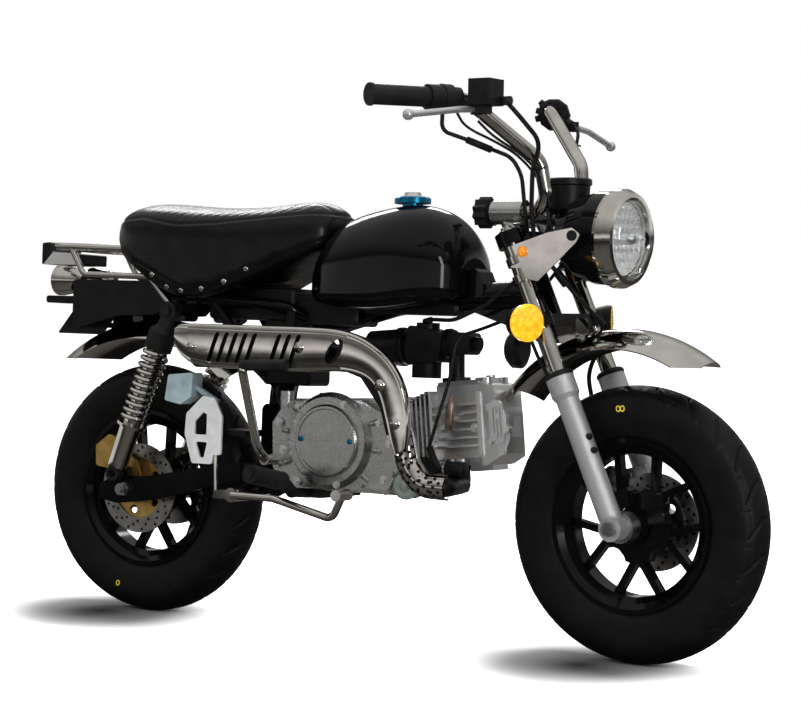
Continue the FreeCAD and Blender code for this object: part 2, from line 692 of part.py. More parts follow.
def makeHeatShield():
    """Chromed guard over the silencer: curved skin with slanted slots and a bend."""
    y1 = -130 - 30 - 1.2
    t = 2.0
    prof = [(152, 500), (148, 462), (190, 430), (414, 430), (470, 436), (508, 424), (545, 378),
            (560, 330), (592, 330), (588, 388), (570, 430), (520, 486), (470, 500), (420, 499)]
    skin = roundedPlate(prof, y1 - t, y1, 9)
    lipTop = roundedPlate([(156, 500), (156, 496.5), (470, 496.5), (470, 500)], y1 - t, y1 + 16, 1)
    cuts = []
    for i in range(8):
        x = 216 + i * 21 + (26 if i > 4 else 0)
        cuts.append(polyFace([V(x, y1 - t - 1, 446), V(x + 5, y1 - t - 1, 446),
                              V(x + 21, y1 - t - 1, 484), V(x + 16, y1 - t - 1, 484)]
                             ).extrude(V(0, t + 2, 0)))
    oval = Part.Ellipse(V(0, 0, 0), 20, 11).toShape()
    face = Part.Face(Part.Wire([oval]))
    face.rotate(V(0, 0, 0), V(1, 0, 0), 90)
    face.rotate(V(0, 0, 0), V(0, 1, 0), -60)
    face.translate(V(452, y1 + 2, 466))
    cuts.append(face.extrude(V(0, -t - 4, 0)))
    skin = skin.cut(Part.makeCompound(cuts))
    pads = [rod(V(x, y1 + 0.1, z), V(x, y1 + 22, z), 6) for x, z in ((186, 465), (394, 468))]
    return fuse([skin, lipTop] + pads)


def makeHeaderGuard():
    """Perforated half-round guard that follows the header below the shield."""
    path = [V(567, -129, 345), V(580, -128, 292), V(604, -128, 260), V(652, -128, 259)]
    grown = [path[0] + (path[0] - path[1]) * 0.1, path[1], path[2], path[3] + V(4, 0, 0)]
    s = bent(path, 20, 42).cut(bent(grown, 17.5, 42))
    keep = box(500, 700, -180, -124, 200, 400)
    s = s.common(keep)
    holes = []
    for i in range(9):
        a, b, t = (path[0], path[1], (i + 0.5) / 4) if i < 4 else \
            ((path[1], path[2], (i - 3.6) / 2.4) if i < 6 else (path[2], path[3], (i - 5.6) / 4.2))
        c = a + (b - a) * t
        d = (b - a).normalize()
        n = d.cross(V(0, -1, 0)).normalize()
        for j, turn in enumerate((-46, 0, 46) if i % 2 else (-24, 24)):
            k = math.radians(turn)
            out = V(0, -1, 0) * math.cos(k) + n * math.sin(k)
            holes.append(rod(c + out * 12, c + out * 26, 2.6))
    return s.cut(Part.makeCompound(holes))


# Bodywork

def makeTank():
    """Teardrop tank straddling the backbone, lofted through arch sections."""
    # columns: x, bottom, crown, half width, dome rise, shoulder radius, corner radius
    table = [(345, 548, 628, 60, 50, 30, 12),
             (380, 540, 674, 86, 74, 44, 18),
             (440, 534, 697, 101, 86, 54, 24),
             (505, 536, 707, 105, 88, 56, 26),
             (552, 543, 701, 101, 84, 54, 26),
             (592, 551, 677, 84, 66, 44, 20),
             (617, 562, 622, 50, 36, 22, 10)]
    s = Part.makeLoft([archWire(*row) for row in table], True, False)
    half = backboneRadius + 3
    tunnel = box(300, 700, -half, half, 440, 588)
    return s.cut(tunnel)


def makeFuelCap():
    base = V(497, 0, 706)
    up = V(-0.03, 0, 1).normalize()
    s = lathe([(-4, 0), (-4, 17), (4, 17), (4, 30), (12, 30), (15, 26), (15, 15), (22, 13), (22, 0)],
              base, up)
    return s


def makeSeat():
    """Wide padded seat, drooping at the sides and narrowing to the tank."""
    # columns: x, bottom, crown, half width, dome rise, shoulder radius, corner radius
    table = [(-48, 630, 676, 66, 28, 18, 12),
             (-24, 610, 702, 96, 46, 34, 20),
             (20, 584, 709, 113, 54, 42, 22),
             (110, 544, 704, 117, 52, 40, 24),
             (190, 552, 702, 114, 52, 40, 22),
             (270, 588, 708, 99, 54, 40, 20),
             (328, 616, 712, 79, 50, 36, 16),
             (368, 640, 690, 54, 30, 20, 12)]
    s = Part.makeLoft([archWire(*row) for row in table], True, False)
    return s.cut(box(-120, 420, -90, 90, 500, 575))


def fenderShell(radius, half, depth, skin, turn, start, centre):
    """Arched sheet revolved about the wheel's own line."""
    def arc(r, h, dp):
        return Part.Arc(V(r - dp, -h, 0), V(r, 0, 0), V(r - dp, h, 0)).toShape()
    a = arc(radius, half, depth)
    b = arc(radius - skin, half - skin * 0.4, depth - skin * 0.2)
    e1 = Part.LineSegment(V(radius - depth, half, 0),
                          V(radius - skin - depth + skin * 0.2, half - skin * 0.4, 0)).toShape()
    e2 = Part.LineSegment(V(radius - depth, -half, 0),
                          V(radius - skin - depth + skin * 0.2, -half + skin * 0.4, 0)).toShape()
    w = Part.Wire(Part.__sortEdges__([a, e1, b, e2]))
    s = Part.Face(w).revolve(V(0, 0, 0), V(0, 1, 0), -turn)
    s.rotate(V(0, 0, 0), V(0, 1, 0), -start)
    s.translate(centre)
    return s


def makeRearFender():
    s = fenderShell(rearFenderRadius, rearFenderHalfWidth, 34, fenderSkin, 86, 48,
                    V(0, 0, tyreRadius - 4))
    s = s.cut(box(-300, -60, -100, 100, 300, 434))
    lug = box(-66, -54, -14, 14, rearFenderRadius + tyreRadius - 14, 549)
    return fuse([s, lug])


def makeTail():
    """Black tail box under the seat, with the plate bracket and lamp hood."""
    outer = roundedPlate([(-141, 487), (-141, 573), (40, 573), (62, 540), (40, 516), (-40, 512)],
                         -74, 74, 6)
    inner = box(-139, 100, -71, 71, 440, 570)
    shell = outer.cut(inner)
    plate = polyFace([V(-142, -62, 522), V(-178, -62, 478), V(-181, -62, 480), V(-145, -62, 524)]
                     ).extrude(V(0, 124, 0))
    hood = roundedPlate([(-240, 532), (-240, 545), (-138, 545), (-138, 532)], -26, 26, 5)
    slots = [rod(V(-190, y, 494), V(-130, y, 505), 4) for y in (-38, 38)]
    s = fuse([shell, plate, hood])
    return s.cut(Part.makeCompound(slots))


def makeRack():
    """Chromed carrier: rear loop, stays to the shock mounts and cross bars."""
    h, r = rackHalfSpan, rackTube
    z = 631
    loop = bent([V(82, -h - 8, 530), V(-20, -h, z - 4), V(-188, -h, z), V(-188, h, z),
                 V(-20, h, z - 4), V(82, h + 8, 530)], r, 26)
    parts = [loop]
    for s in (-1, 1):
        parts.append(bent([V(-146, s * h, z), V(-116, s * h, 582), V(30, s * (h + 4), 580)],
                          r - 1, 20))
    for x in (-50, -100):
        parts.append(rod(V(x, -h, z - 2), V(x, h, z - 2), r - 1.5))
    return fuse(parts)


def makeTailLight():
    s = roundedPlate([(-240, 600), (-240, 638), (-222, 640), (-218, 622), (-160, 620),
                      (-160, 600)], -42, 42, 3)
    return s


def makeRearIndicators():
    out = []
    for s in (-1, 1):
        base = V(-141.3, s * 46, 572)
        out.append(lathe([(0, 0), (0, 10), (14, 22), (44, 27), (52, 27), (52, 0)], base, V(-1, 0, 0)))
    return Part.makeCompound(out)


# Controls on the frame

def makeKickLever():
    shaft = rod(V(304, -86, 283), V(304, -122, 283), 9)
    arm = bent([V(304, -116, 283), V(303, -140, 300), V(294, -178, 425), V(293, -178, 440)], 7.5, 30)
    pedal = rod(V(292, -178, 436), V(378, -178, 440), 9)
    return fuse([shaft, arm, pedal])


def makeFootpegs():
    parts = [roundedPlate([(330, 222), (380, 222), (380, 235.7), (330, 235.7)], -62, 62, 3)]
    for s in (-1, 1):
        parts.append(bent([V(352, s * 58, 229), V(352, s * 104, 232), V(351, s * 128, 250),
                           V(344, s * 226, 266)], 8, 24))
        parts.append(rod(V(350.4, s * 136, 251.5), V(344.3, s * 222, 265.4), 15))
    return fuse(parts)


def makeBrakePedal():
    boss = rod(V(250, -90, 222), V(250, -136, 222), 12).fuse(
        rod(V(250, -43, 222), V(250, -92, 222), 8))
    rear = roundedPlate([(208, 214), (214, 228), (262, 232), (262, 216)], -130, -122, 4)
    arm = bent([V(250, -132, 222), V(330, -132, 222), V(446, -134, 196), V(466, -140, 232)], 6.5, 18)
    pad = rod(V(466, -120, 236), V(468, -162, 236), 9)
    push = rod(V(213, -126, 224), V(210, -126, 300), 4)
    return fuse([boss, rear, arm, pad, push])


def makeGuardPlate():
    prof = [(184, 382), (152, 352), (150, 318), (166, 270), (206, 270), (208, 286), (224, 286),
            (224, 350), (208, 380)]
    s = roundedPlate(prof, -131, -127, 5)
    cuts = [roundedPlate([(170, 340), (186, 356), (194, 352), (194, 318), (170, 318)], -140, -120, 3),
            roundedPlate([(172, 306), (196, 306), (190, 280), (182, 280)], -140, -120, 3)]
    s = s.cut(Part.makeCompound(cuts))
    cyl = rod(V(210, -115, 300), V(210, -115, 372), 11)
    hold = box(200, 220, -128, -112, 330, 342)
    arm = box(205, 262, -116, -43, 318, 328)
    return fuse([s, cyl, hold, arm])


def makeReservoir():
    s = roundedPlate([(104, 372), (110, 415), (160, 420), (158, 380), (136, 366)], -128, -98, 4)
    hose = rod(V(156, -112, 396), V(203, -112, 372), 5)
    return fuse([s, hose])


def makeRearCaliper():
    c = V(-50, 0, tyreRadius + 58)
    body = roundedPlate([(-82, 250), (-84, 285), (-56, 306), (-30, 298), (-22, 268), (-44, 246)],
                        -68, -57, 6)
    back = roundedPlate([(-80, 256), (-78, 284), (-56, 298), (-34, 290), (-32, 262)], -46, -41, 5)
    bridge = roundedPlate([(-84, 278), (-62, 306), (-52, 300), (-76, 272)], -60, -42, 3)
    hang = roundedPlate([(-72, 262), (-40, 286), (6, 262), (20, 226), (14, 202), (-14, 202),
                         (-40, 232)], -68.7, -64, 6)
    hang = hang.cut(rod(rearAxle + V(0, -90, 0), rearAxle + V(0, -50, 0), 12 + contact))
    return fuse([body, back, bridge, hang])


def makeHorn():
    s = lathe([(0, 0), (0, 23), (8, 30.5), (20, 30.5), (26, 21), (26, 0)], V(692, -12, 478), V(1, 0, 0))
    stay = box(690, 698, -14, -9, 492, 542)
    return fuse([s, stay])


def makeGearLever():
    shaft = rod(V(382, 78, 258), V(382, 112, 258), 6)
    arm = bent([V(382, 110, 258), V(470, 112, 240), V(476, 140, 240)], 5.5, 14)
    pad = rod(V(476, 118, 240), V(477, 158, 240), 9)
    return fuse([shaft, arm, pad])


def makeSideStand():
    """Prop stand hinged on the left swing arm, its pad flat on the leaning ground."""
    lean = math.radians(leanAngle)
    leg = rod(standPivot, standFoot + V(0, 0, 3), standLegRadius)
    eye = rod(standPivot - standAxis * 8, standPivot + standAxis * 8, 13)
    pad = Part.makeCylinder(18, 5, standFoot, V(0, -math.sin(lean), math.cos(lean)))
    s = fuse([leg, eye, pad])
    ground = Part.makeBox(400, 400, 60, V(standFootX - 200, 5, -60))
    ground.rotate(V(0, 0, 0), V(1, 0, 0), leanAngle)
    return s.cut(ground).cut(rod(standPivot - standAxis * 20, standPivot + standAxis * 20, 5.3))


def makeStandPin():
    """Hinge pin with its head, standing out of the left swing arm."""
    inner = V(standPivotX, armHalfSpan + armThick / 2 - 3, standPivotZ)
    out = standAxis if standAxis.y > 0 else standAxis * -1
    pin = rod(standPivot - out * 26, standPivot + out * 11, 5)
    head = rod(standPivot + out * 9, standPivot + out * 14, 9)
    collar = rod(inner, inner + V(0, 7, 0), 12)
    keep = box(standPivotX - 40, standPivotX + 40, armHalfSpan, 200, 150, 300)
    return fuse([pin, head, collar]).common(keep)


# Steering assembly, drawn straight ahead

def forkPoint(t, y, ahead=0.0):
    """Point t up the fork tubes' line, sideways y, ahead of the tube centres."""
    return frontAxle + axisUp * t + axisFront * ahead + V(0, y, 0)


def makeForkTubes():
    out = []
    for s in (-1, 1):
        y = s * forkHalfSpan
        t = rod(forkPoint(forkLegTop - 40, y), forkPoint(forkLength + 4, y), forkTubeRadius)
        cap = rod(forkPoint(forkLength + 4, y), forkPoint(forkLength + 9, y), 9)
        out.append(fuse([t, cap]))
    return Part.makeCompound(out)


def makeForkLegs():
    out = []
    for s in (-1, 1):
        y = s * forkHalfSpan
        leg = lathe([(0, 0), (0, forkLegRadius - 4), (18, forkLegRadius),
                     (forkLegTop - forkCollarLength - 8, forkLegRadius),
                     (forkLegTop - forkCollarLength, forkCollarRadius),
                     (forkLegTop, forkCollarRadius),
                     (forkLegTop, forkTubeRadius + contact),
                     (forkLegTop - 42, forkTubeRadius + contact), (forkLegTop - 42, 0)],
                    forkPoint(0, y), axisUp)
        lug = rod(frontAxle + V(0, y - 15, 0), frontAxle + V(0, y + 15, 0), axleBossRadius - 4)
        leg = fuse([leg, lug])
        leg = leg.cut(rod(frontAxle + V(0, y - 30, 0), frontAxle + V(0, y + 30, 0),
                          axleRadius + contact))
        out.append(leg)
    return Part.makeCompound(out)


def makeFrontAxle():
    """Front spindle with nuts, spacers and the speedometer drive."""
    out = forkHalfSpan + 15
    parts = [rod(frontAxle + V(0, -out - 6, 0), frontAxle + V(0, out + 10, 0), axleRadius),
             rod(frontAxle + V(0, -out - 8, 0), frontAxle + V(0, -out, 0), 11),
             rod(frontAxle + V(0, out, 0), frontAxle + V(0, out + 9, 0), 11)]
    inner = forkHalfSpan - 15
    parts.append(rod(frontAxle + V(0, -inner, 0), frontAxle + V(0, -hubHalfWidth - 0.6, 0), 24))
    parts.append(rod(frontAxle + V(0, discOffset + 8, 0), frontAxle + V(0, inner, 0), 12))
    return fuse(parts)


def makeBridges():
    """Upper and lower fork bridges, steering stem and the bar holders."""
    parts = []
    for t0, grow in ((lowerBridgeAt, 0), (forkLength - bridgeThick / 2, 0)):
        a, b = t0 - bridgeThick / 2, t0 + bridgeThick / 2
        for s in (-1, 1):
            parts.append(rod(forkPoint(a, s * forkHalfSpan), forkPoint(b, s * forkHalfSpan),
                             forkTubeRadius + 8))
        parts.append(rod(forkPoint(a, 0, -axisOffset), forkPoint(b, 0, -axisOffset), 24))
        y = forkHalfSpan
        pts = [forkPoint(a, -y, 12), forkPoint(a, y, 12), forkPoint(a, y, -14),
               forkPoint(a, 22, -axisOffset - 20), forkPoint(a, -22, -axisOffset - 20),
               forkPoint(a, -y, -14)]
        parts.append(polyFace(pts).extrude(axisUp * bridgeThick))
    stem = rod(forkPoint(lowerBridgeAt - 4, 0, -axisOffset),
               forkPoint(lowerBridgeAt + bridgeThick / 2 + headTubeGap, 0, -axisOffset), 15)
    nut = rod(forkPoint(forkLength - 2, 0, -axisOffset), forkPoint(forkLength + 12, 0, -axisOffset), 15)
    s = fuse(parts + [nut, stem])
    for k in (-1, 1):
        s = s.cut(rod(forkPoint(lowerBridgeAt - 40, k * forkHalfSpan),
                      forkPoint(forkLength + 40, k * forkHalfSpan), forkTubeRadius))
    return s


def makeBarHolders():
    """Alloy sockets on the upper bridge with their star knobs."""
    out = []
    for s in (-1, 1):
        y = s * barHalfSpan
        sock = rod(V(682, y, barClampZ), V(738, y, barClampZ), 19)
        sock = sock.cut(rod(V(690, y, barClampZ), V(740, y, barClampZ), barRadius + contact))
        base = forkPoint(forkLength + contact, y, -4)
        post = rod(base, V(706, y, barClampZ - 14), 12)
        post = post.cut(rod(V(680, y, barClampZ), V(750, y, barClampZ), barRadius + contact))
        pts = []
        for i in range(20):
            r = 25 if i % 2 else 20.5
            a = math.pi * 2 * i / 20
            pts.append(V(654, y + r * math.cos(a), barClampZ + r * math.sin(a)))
        knob = polyFace(pts).extrude(V(22, 0, 0))
        neck = rod(V(674, y, barClampZ), V(684, y, barClampZ), 10)
        out.append(fuse([sock, post, knob, neck]))
    return Part.makeCompound(out)


def makeLampShell():
    base = V(lampX, 0, lampZ)
    s = lathe([(-106, 0), (-102, 22), (-88, 42), (-60, 63), (-30, 72), (-4, 73), (-4, 0)], base,
              V(1, 0, -0.03).normalize())
    ears = [rod(V(844, k * 60, 656), V(844, k * 98, 656), 8) for k in (-1, 1)]
    return fuse([s] + ears)


def makeLampRing():
    base = V(lampX, 0, lampZ)
    return lathe([(-3.7, 58), (-3.7, 75), (2, lampRadius), (14, lampRadius), (26, 71), (27, 64),
                  (20, 62), (20, 58)], base, V(1, 0, -0.03).normalize())


def makeLampLens():
    base = V(lampX, 0, lampZ)
    return lathe([(-3.7, 0), (-3.7, 57.5), (20.3, 57.5), (20.3, 61.7), (27, 62), (38, 52), (47, 34),
                  (50, 14), (50.5, 0)], base, V(1, 0, -0.03).normalize())


def makeLampStays():
    """Chromed triangular side plates clamped to the fork tubes."""
    out = []
    for s in (-1, 1):
        prof = [(738, 640), (800, 660), (844, 668), (858, 658), (852, 646), (786, 586), (764, 590)]
        y = s * 93
        p = roundedPlate(prof, min(y, y + s * 3), max(y, y + s * 3), 4)
        p = p.cut(rod(V(844, s * 60, 656), V(844, s * 120, 656), 8.2))
        clamps = []
        for t in (410, 440):
            c = forkPoint(t, s * forkHalfSpan)
            ring = rod(c - axisUp * 6, c + axisUp * 6, forkTubeRadius + 4)
            clamps.append(ring)
        arm = box(738, 764, min(s * 84, s * 96), max(s * 84, s * 96), 606, 622)
        st = fuse([p] + clamps + [arm])
        st = st.cut(rod(forkPoint(350, s * forkHalfSpan), forkPoint(520, s * forkHalfSpan),
                        forkTubeRadius))
        out.append(st)
    return Part.makeCompound(out)


def makeSpeedometer():
    s = lathe([(0, 0), (0, 26), (8, 34), (44, 36), (46, 39), (54, 39), (56, 36), (56, 0)],
              V(781, 0, 692), V(-0.02, 0, 1).normalize())
    return s


def makeFrontFender():
    s = fenderShell(fenderRadius, fenderHalfWidth, fenderArch, fenderSkin, 89, 54.5,
                    V(893, 0, 262))
    return s.cut(box(984, 1100, -80, 80, 380, 460))


def makeFenderMount():
    """Fender bracket up to the lower bridge."""
    top = forkPoint(lowerBridgeAt - bridgeThick / 2 - contact, 0, -6)
    return box(774, 812, -20, 20, 490, 530)


def makeIndicators():
    """Front indicators on short stalks from the fork tubes."""
    out = []
    for s in (-1, 1):
        face = V(math.cos(math.radians(26)), s * math.sin(math.radians(26)), 0)
        c = V(786, s * 128, 522)
        body = lathe([(-34, 0), (-32, 13), (-20, 24), (-4, 28), (0, 29), (6, 29), (9, 26), (11, 0)],
                     c, face)
        tube = forkPoint(lowerBridgeAt, s * forkHalfSpan)
        stalk = rod(tube + V(0, s * (forkTubeRadius + 2), 0), c - face * 14, 6)
        out.append(fuse([body, stalk]))
    return Part.makeCompound(out)


def makeFrontCaliper():
    """Left-side caliper behind the leg, straddling the disc."""
    c = frontAxle + axisUp * 78 - axisFront * 40
    pts = [(c.x - 24, c.z - 26), (c.x - 30, c.z + 14), (c.x - 6, c.z + 30), (c.x + 20, c.z + 20),
           (c.x + 24, c.z - 14)]
    outer = roundedPlate(pts, 57.5, 66, 5)
    inner = roundedPlate(pts, 38, 45.5, 5)
    bridge = roundedPlate([(c.x - 30, c.z + 6), (c.x - 8, c.z + 30), (c.x - 2, c.z + 22),
                           (c.x - 22, c.z + 2)], 40, 64, 3)
    mount = roundedPlate([(c.x - 16, c.z - 20), (c.x - 16, c.z + 16), (c.x + 44, c.z + 34),
                          (c.x + 60, c.z - 4), (c.x + 20, c.z - 24)], 60, 72, 4)
    return fuse([outer, inner, bridge, mount])


# Handlebars, each folding on its own socket; the left one is set further in
barEnds = {-1: (V(692, -165, 862), V(622, -314, 858.5)),
           1: (V(668, 132, 869), V(598, 281, 865.5))}
leverEnds = {-1: (V(714, -168, 845), V(690, -318, 826)),
             1: (V(698, 160, 843), V(688, 308, 821))}

def barPoints(s):
    """Socket, lower bend and the side's own upper corner and grip end."""
    corner, end = barEnds[s]
    return [V(692, s * barHalfSpan, barClampZ), V(780, s * barHalfSpan, barClampZ),
            V(768, s * (barHalfSpan + 10), 772), corner, end]


def makeBar(s):
    return bent(barPoints(s), barRadius, 34)


def onGrip(s, d):
    """Point on the grip's straight, d from the bar's upper corner."""
    a, b = barEnds[s]
    return a + (b - a).normalize() * d


def makeGrip(s):
    """Rubber grip, throttle drum and switch housing, one sleeve on the bar."""
    g = rod(onGrip(s, 68), onGrip(s, 166), gripRadius - 1)
    drum = rod(onGrip(s, 44), onGrip(s, 69), gripRadius + 3)
    housing = rod(onGrip(s, 28), onGrip(s, 44.5), 21)
    end = rod(onGrip(s, 166), onGrip(s, 170), gripRadius + 1)
    u = fuse([g, drum, housing, end])
    return u.cut(rod(onGrip(s, 20), onGrip(s, 167), barRadius))


def makeLever(s):
    """Ball-ended hand lever."""
    a, b = leverEnds[s]
    d = (b - a).normalize()
    lever = bent([a, a + d * 46 + V(6, 0, 2), b], 5, 40)
    return fuse([lever, Part.makeSphere(8.5, b)])


def makePerch(s):
    """Clamp round the bar with the lever's fork; the right one carries the reservoir."""
    a, b = leverEnds[s]
    clamp = rod(onGrip(s, 12.5), onGrip(s, 27.5), 17)
    pivot = rod(a + V(0, 0, 8), a - V(0, 0, 8), 9)
    arm = rod(onGrip(s, 20), a, 8)
    parts = [clamp, arm, pivot]
    if s < 0:
        parts.append(box(712, 750, -190, -148, 850, 890))
        parts.append(box(714, 736, -180, -158, 838, 852))
    return fuse(parts).cut(rod(onGrip(s, 5), onGrip(s, 35), barRadius))


# Cables and hoses, held from end to end

def steered(p):
    """A point of the fork assembly where the stored steering angle puts it."""
    return FreeCAD.Rotation(axisUp, restSteer).multVec(p - steerFoot) + steerFoot


def makeBrakeHose():
    """From the right reservoir past the lamp and lower bridge to the front caliper."""
    hose = bent([V(756, -152, 858), V(774, -146, 838), V(788, -98, 798), V(768, -88, 758),
                 V(761, -77, 700), V(762, -66, 640), V(800, -42, 590), V(826, -22, 552),
                 V(828, 40, 522), V(812, 62.5, 492), V(788, 64.5, 440), V(798, 70, 385),
                 V(826, 70, 318)], 3.6, 60)
    banjo = rod(V(750.3, -152, 858), V(765, -152, 858), 7)
    joint = rod(V(788, -42, 602), V(806, -42, 582), 7)
    end = rod(V(826, 70, 330), V(830, 66.3, 306), 6)
    return fuse([hose, banjo, joint, end])


def makeThrottleCable():
    """From the throttle drum down behind the lamp and under the tank to the carburettor."""
    top = [V(671, -196, 839), V(668, -193, 812), V(692, -158, 800), V(738, -99, 776),
           V(748, -86, 748), V(749, -77, 700), V(751, -62, 630), V(722, -50, 588)]
    down = [V(660, -44, 545), V(604, -42, 520), V(556, -26, 521), V(534, -14, 517.5)]
    cable = bent([steered(q) for q in top] + down, 3.2, 60)
    barrel = rod(steered(V(692, -158, 800)), steered(V(716, -126, 786.5)), 5.5)
    boot = rod(V(552, -23, 520.5), V(536, -15, 517.5), 5)
    return fuse([cable, barrel, boot])


def makeClutchCable():
    """From the left lever down behind the lamp and past the head to the clutch arm."""
    top = [V(706, 149, 843), V(724, 132, 832), V(728, 112, 790), V(746, 90, 752),
           V(749, 77, 700), V(751, 62, 630), V(722, 50, 588)]
    down = [V(668, 42, 530), V(636, -8, 508), V(618, -56, 494), V(611, -62, 425),
            V(582, -68, 318)]
    cable = bent([steered(q) for q in top] + down, 2.8, 60)
    adjuster = rod(V(582, -68, 318), V(600, -68, 276), 6)
    lug = roundedPlate([(544, 268), (548, 300), (594, 302), (606, 284), (594, 272)], -71, -65, 4)
    hold = box(546, 558, -68, -59, 272, 296)
    return fuse([cable, adjuster, lug, hold])


def makeSpeedoCable():
    """From the drive on the right of the front hub up behind the fork to the dial."""
    return bent([V(903, -57, 232), V(868, -58, 290), V(812, -60, 400), V(768, -60, 470),
                 V(742, -60, 522), V(740, -56, 570), V(757, -34, 640), V(760, -14, 691.6)], 2.8, 60)


shapes = {}


def add(node, shape, steered=False):
    shapes[node] = (shape, steered)


tyre, rim = makeTyre(), makeRim()
for end, centre in (("rear", rearAxle), ("front", frontAxle)):
    t, r = tyre.copy(), rim.copy()
    d = makeDisc(-1 if end == "rear" else 1)
    for name, s in (("tyre", t), ("wheel", r), ("disc", d)):
        s.translate(centre)
        add(end + "_" + name, s, end == "front")
sprocket = makeSprocket()
sprocket.translate(rearAxle)
add("rear_sprocket", sprocket)
add("drive_chain", makeChain())

add("frame", makeFrame())
add("swing_arm", fuse([makeSwingArm(), makeStandPin()]))
add("rear_axle", makeRearAxle())
add("shock_absorbers", Part.makeCompound(makeShocks().Solids + makeSprings().Solids))
add("crankcase", fuse([makeCrankcase(), makeGeneratorCover()]))
add("clutch_cover", makeClutchCover())
add("cylinder", makeCylinder())
add("cylinder_head", makeHead())
add("carburettor", makeCarburettor())
add("exhaust", makeExhaust())
add("heat_shield", fuse([makeHeatShield(), makeHeaderGuard()]))
add("fuel_tank", makeTank())
add("fuel_cap", makeFuelCap())
add("seat", makeSeat())
add("rear_fender", makeRearFender())
add("tail_box", makeTail())
add("rear_rack", makeRack())
add("tail_light", makeTailLight())
add("rear_indicators", makeRearIndicators())
add("footpegs", makeFootpegs())
add("guard_plate", makeGuardPlate())
add("brake_reservoir", makeReservoir())
add("rear_caliper", makeRearCaliper())
add("horn", makeHorn())
add("foot_levers", Part.makeCompound([makeKickLever(), makeBrakePedal(), makeGearLever()]))
add("side_stand", makeSideStand())

add("fork_tubes", makeForkTubes(), True)
add("fork_legs", makeForkLegs(), True)
add("front_axle", makeFrontAxle(), True)
add("fork_bridges", makeBridges(), True)
add("bar_holders", makeBarHolders(), True)
add("headlight_shell", makeLampShell(), True)
add("headlight_ring", makeLampRing(), True)
add("headlight_lens", makeLampLens(), True)
add("headlight_stays", makeLampStays(), True)
add("speedometer", makeSpeedometer(), True)
add("front_fender", fuse([makeFrontFender(), makeFenderMount()]), True)
add("front_indicators", makeIndicators(), True)
add("front_caliper", makeFrontCaliper(), True)
for s, side in ((-1, "right"), (1, "left")):
    add("handlebar_" + side, makeBar(s), True)
    add("grip_" + side, fuse([makeGrip(s), makePerch(s)]), True)
    add("lever_" + side, makeLever(s), True)

add("brake_hose", makeBrakeHose(), True)
add("speedo_cable", makeSpeedoCable(), True)
add("throttle_cable", makeThrottleCable())
add("clutch_cable", makeClutchCable())

# What rests on a neighbour is cut to the neighbour's surface.
seats = [("seat", "frame"), ("seat", "rear_rack"), ("seat", "tail_box"), ("seat", "fuel_tank"),
         ("fuel_cap", "fuel_tank"), ("tail_box", "frame"), ("rear_fender", "frame"),
         ("rear_rack", "shock_absorbers"), ("rear_rack", "frame"), ("rear_rack", "tail_box"),
         ("tail_light", "rear_rack"), ("rear_indicators", "tail_box"), ("crankcase", "frame"),
         ("carburettor", "cylinder_head"), ("carburettor", "frame"), ("exhaust", "cylinder_head"),
         ("exhaust", "frame"), ("heat_shield", "exhaust"), ("foot_levers", "clutch_cover"),
         ("brake_reservoir", "guard_plate"), ("guard_plate", "foot_levers"),
         ("guard_plate", "frame"), ("foot_levers", "frame"), ("footpegs", "crankcase"),
         ("foot_levers", "crankcase"), ("horn", "frame"),
         ("bar_holders", "fork_bridges"), ("headlight_stays", "fork_bridges"),
         ("front_indicators", "fork_bridges"), ("front_axle", "fork_legs"),
         ("speedometer", "headlight_shell"), ("speedometer", "fork_bridges"),
         ("headlight_shell", "fork_bridges"), ("headlight_shell", "headlight_stays"),
         ("front_fender", "fork_bridges"), ("front_caliper", "fork_legs"),
         ("lever_right", "grip_right"), ("lever_left", "grip_left"),
         ("grip_right", "handlebar_right"), ("brake_hose", "grip_right"), ("brake_hose", "front_caliper"),
         ("brake_hose", "fork_legs"), ("speedo_cable", "front_axle"),
         ("speedo_cable", "speedometer"), ("throttle_cable", "carburettor"),
         ("clutch_cable", "crankcase"), ("clutch_cable", "clutch_cover"),
         ("rear_axle", "swing_arm"), ("cylinder", "crankcase"),
         ("drive_chain", "crankcase")]
for node, rest in seats:
    shape, steered = shapes[node]
    shapes[node] = (shape.cut(shapes[rest][0]), steered)

placed = {}
for node, (shape, steered) in shapes.items():
    s = shape.copy()
    if steered:
        s.rotate(steerFoot, axisUp, restSteer)
    s.rotate(V(0, 0, 0), V(1, 0, 0), -leanAngle)
    placed[node] = s
whole = Part.makeCompound(list(placed.values())).optimalBoundingBox(True, False)
shift = V(-(whole.XMin + whole.XMax) / 2, -(whole.YMin + whole.YMax) / 2, -whole.ZMin)

os.makedirs("parts", exist_ok=True)
for node, s in placed.items():
    s.translate(shift)
    s.exportStep("parts/" + node + ".step")
    print(node, len(s.Solids), s.isValid(), round(s.Volume / 1000.0, 1))
print("shift", shift)
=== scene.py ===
import json
import math

import bmesh
import bpy
import numpy as np
from mathutils import Matrix, Vector


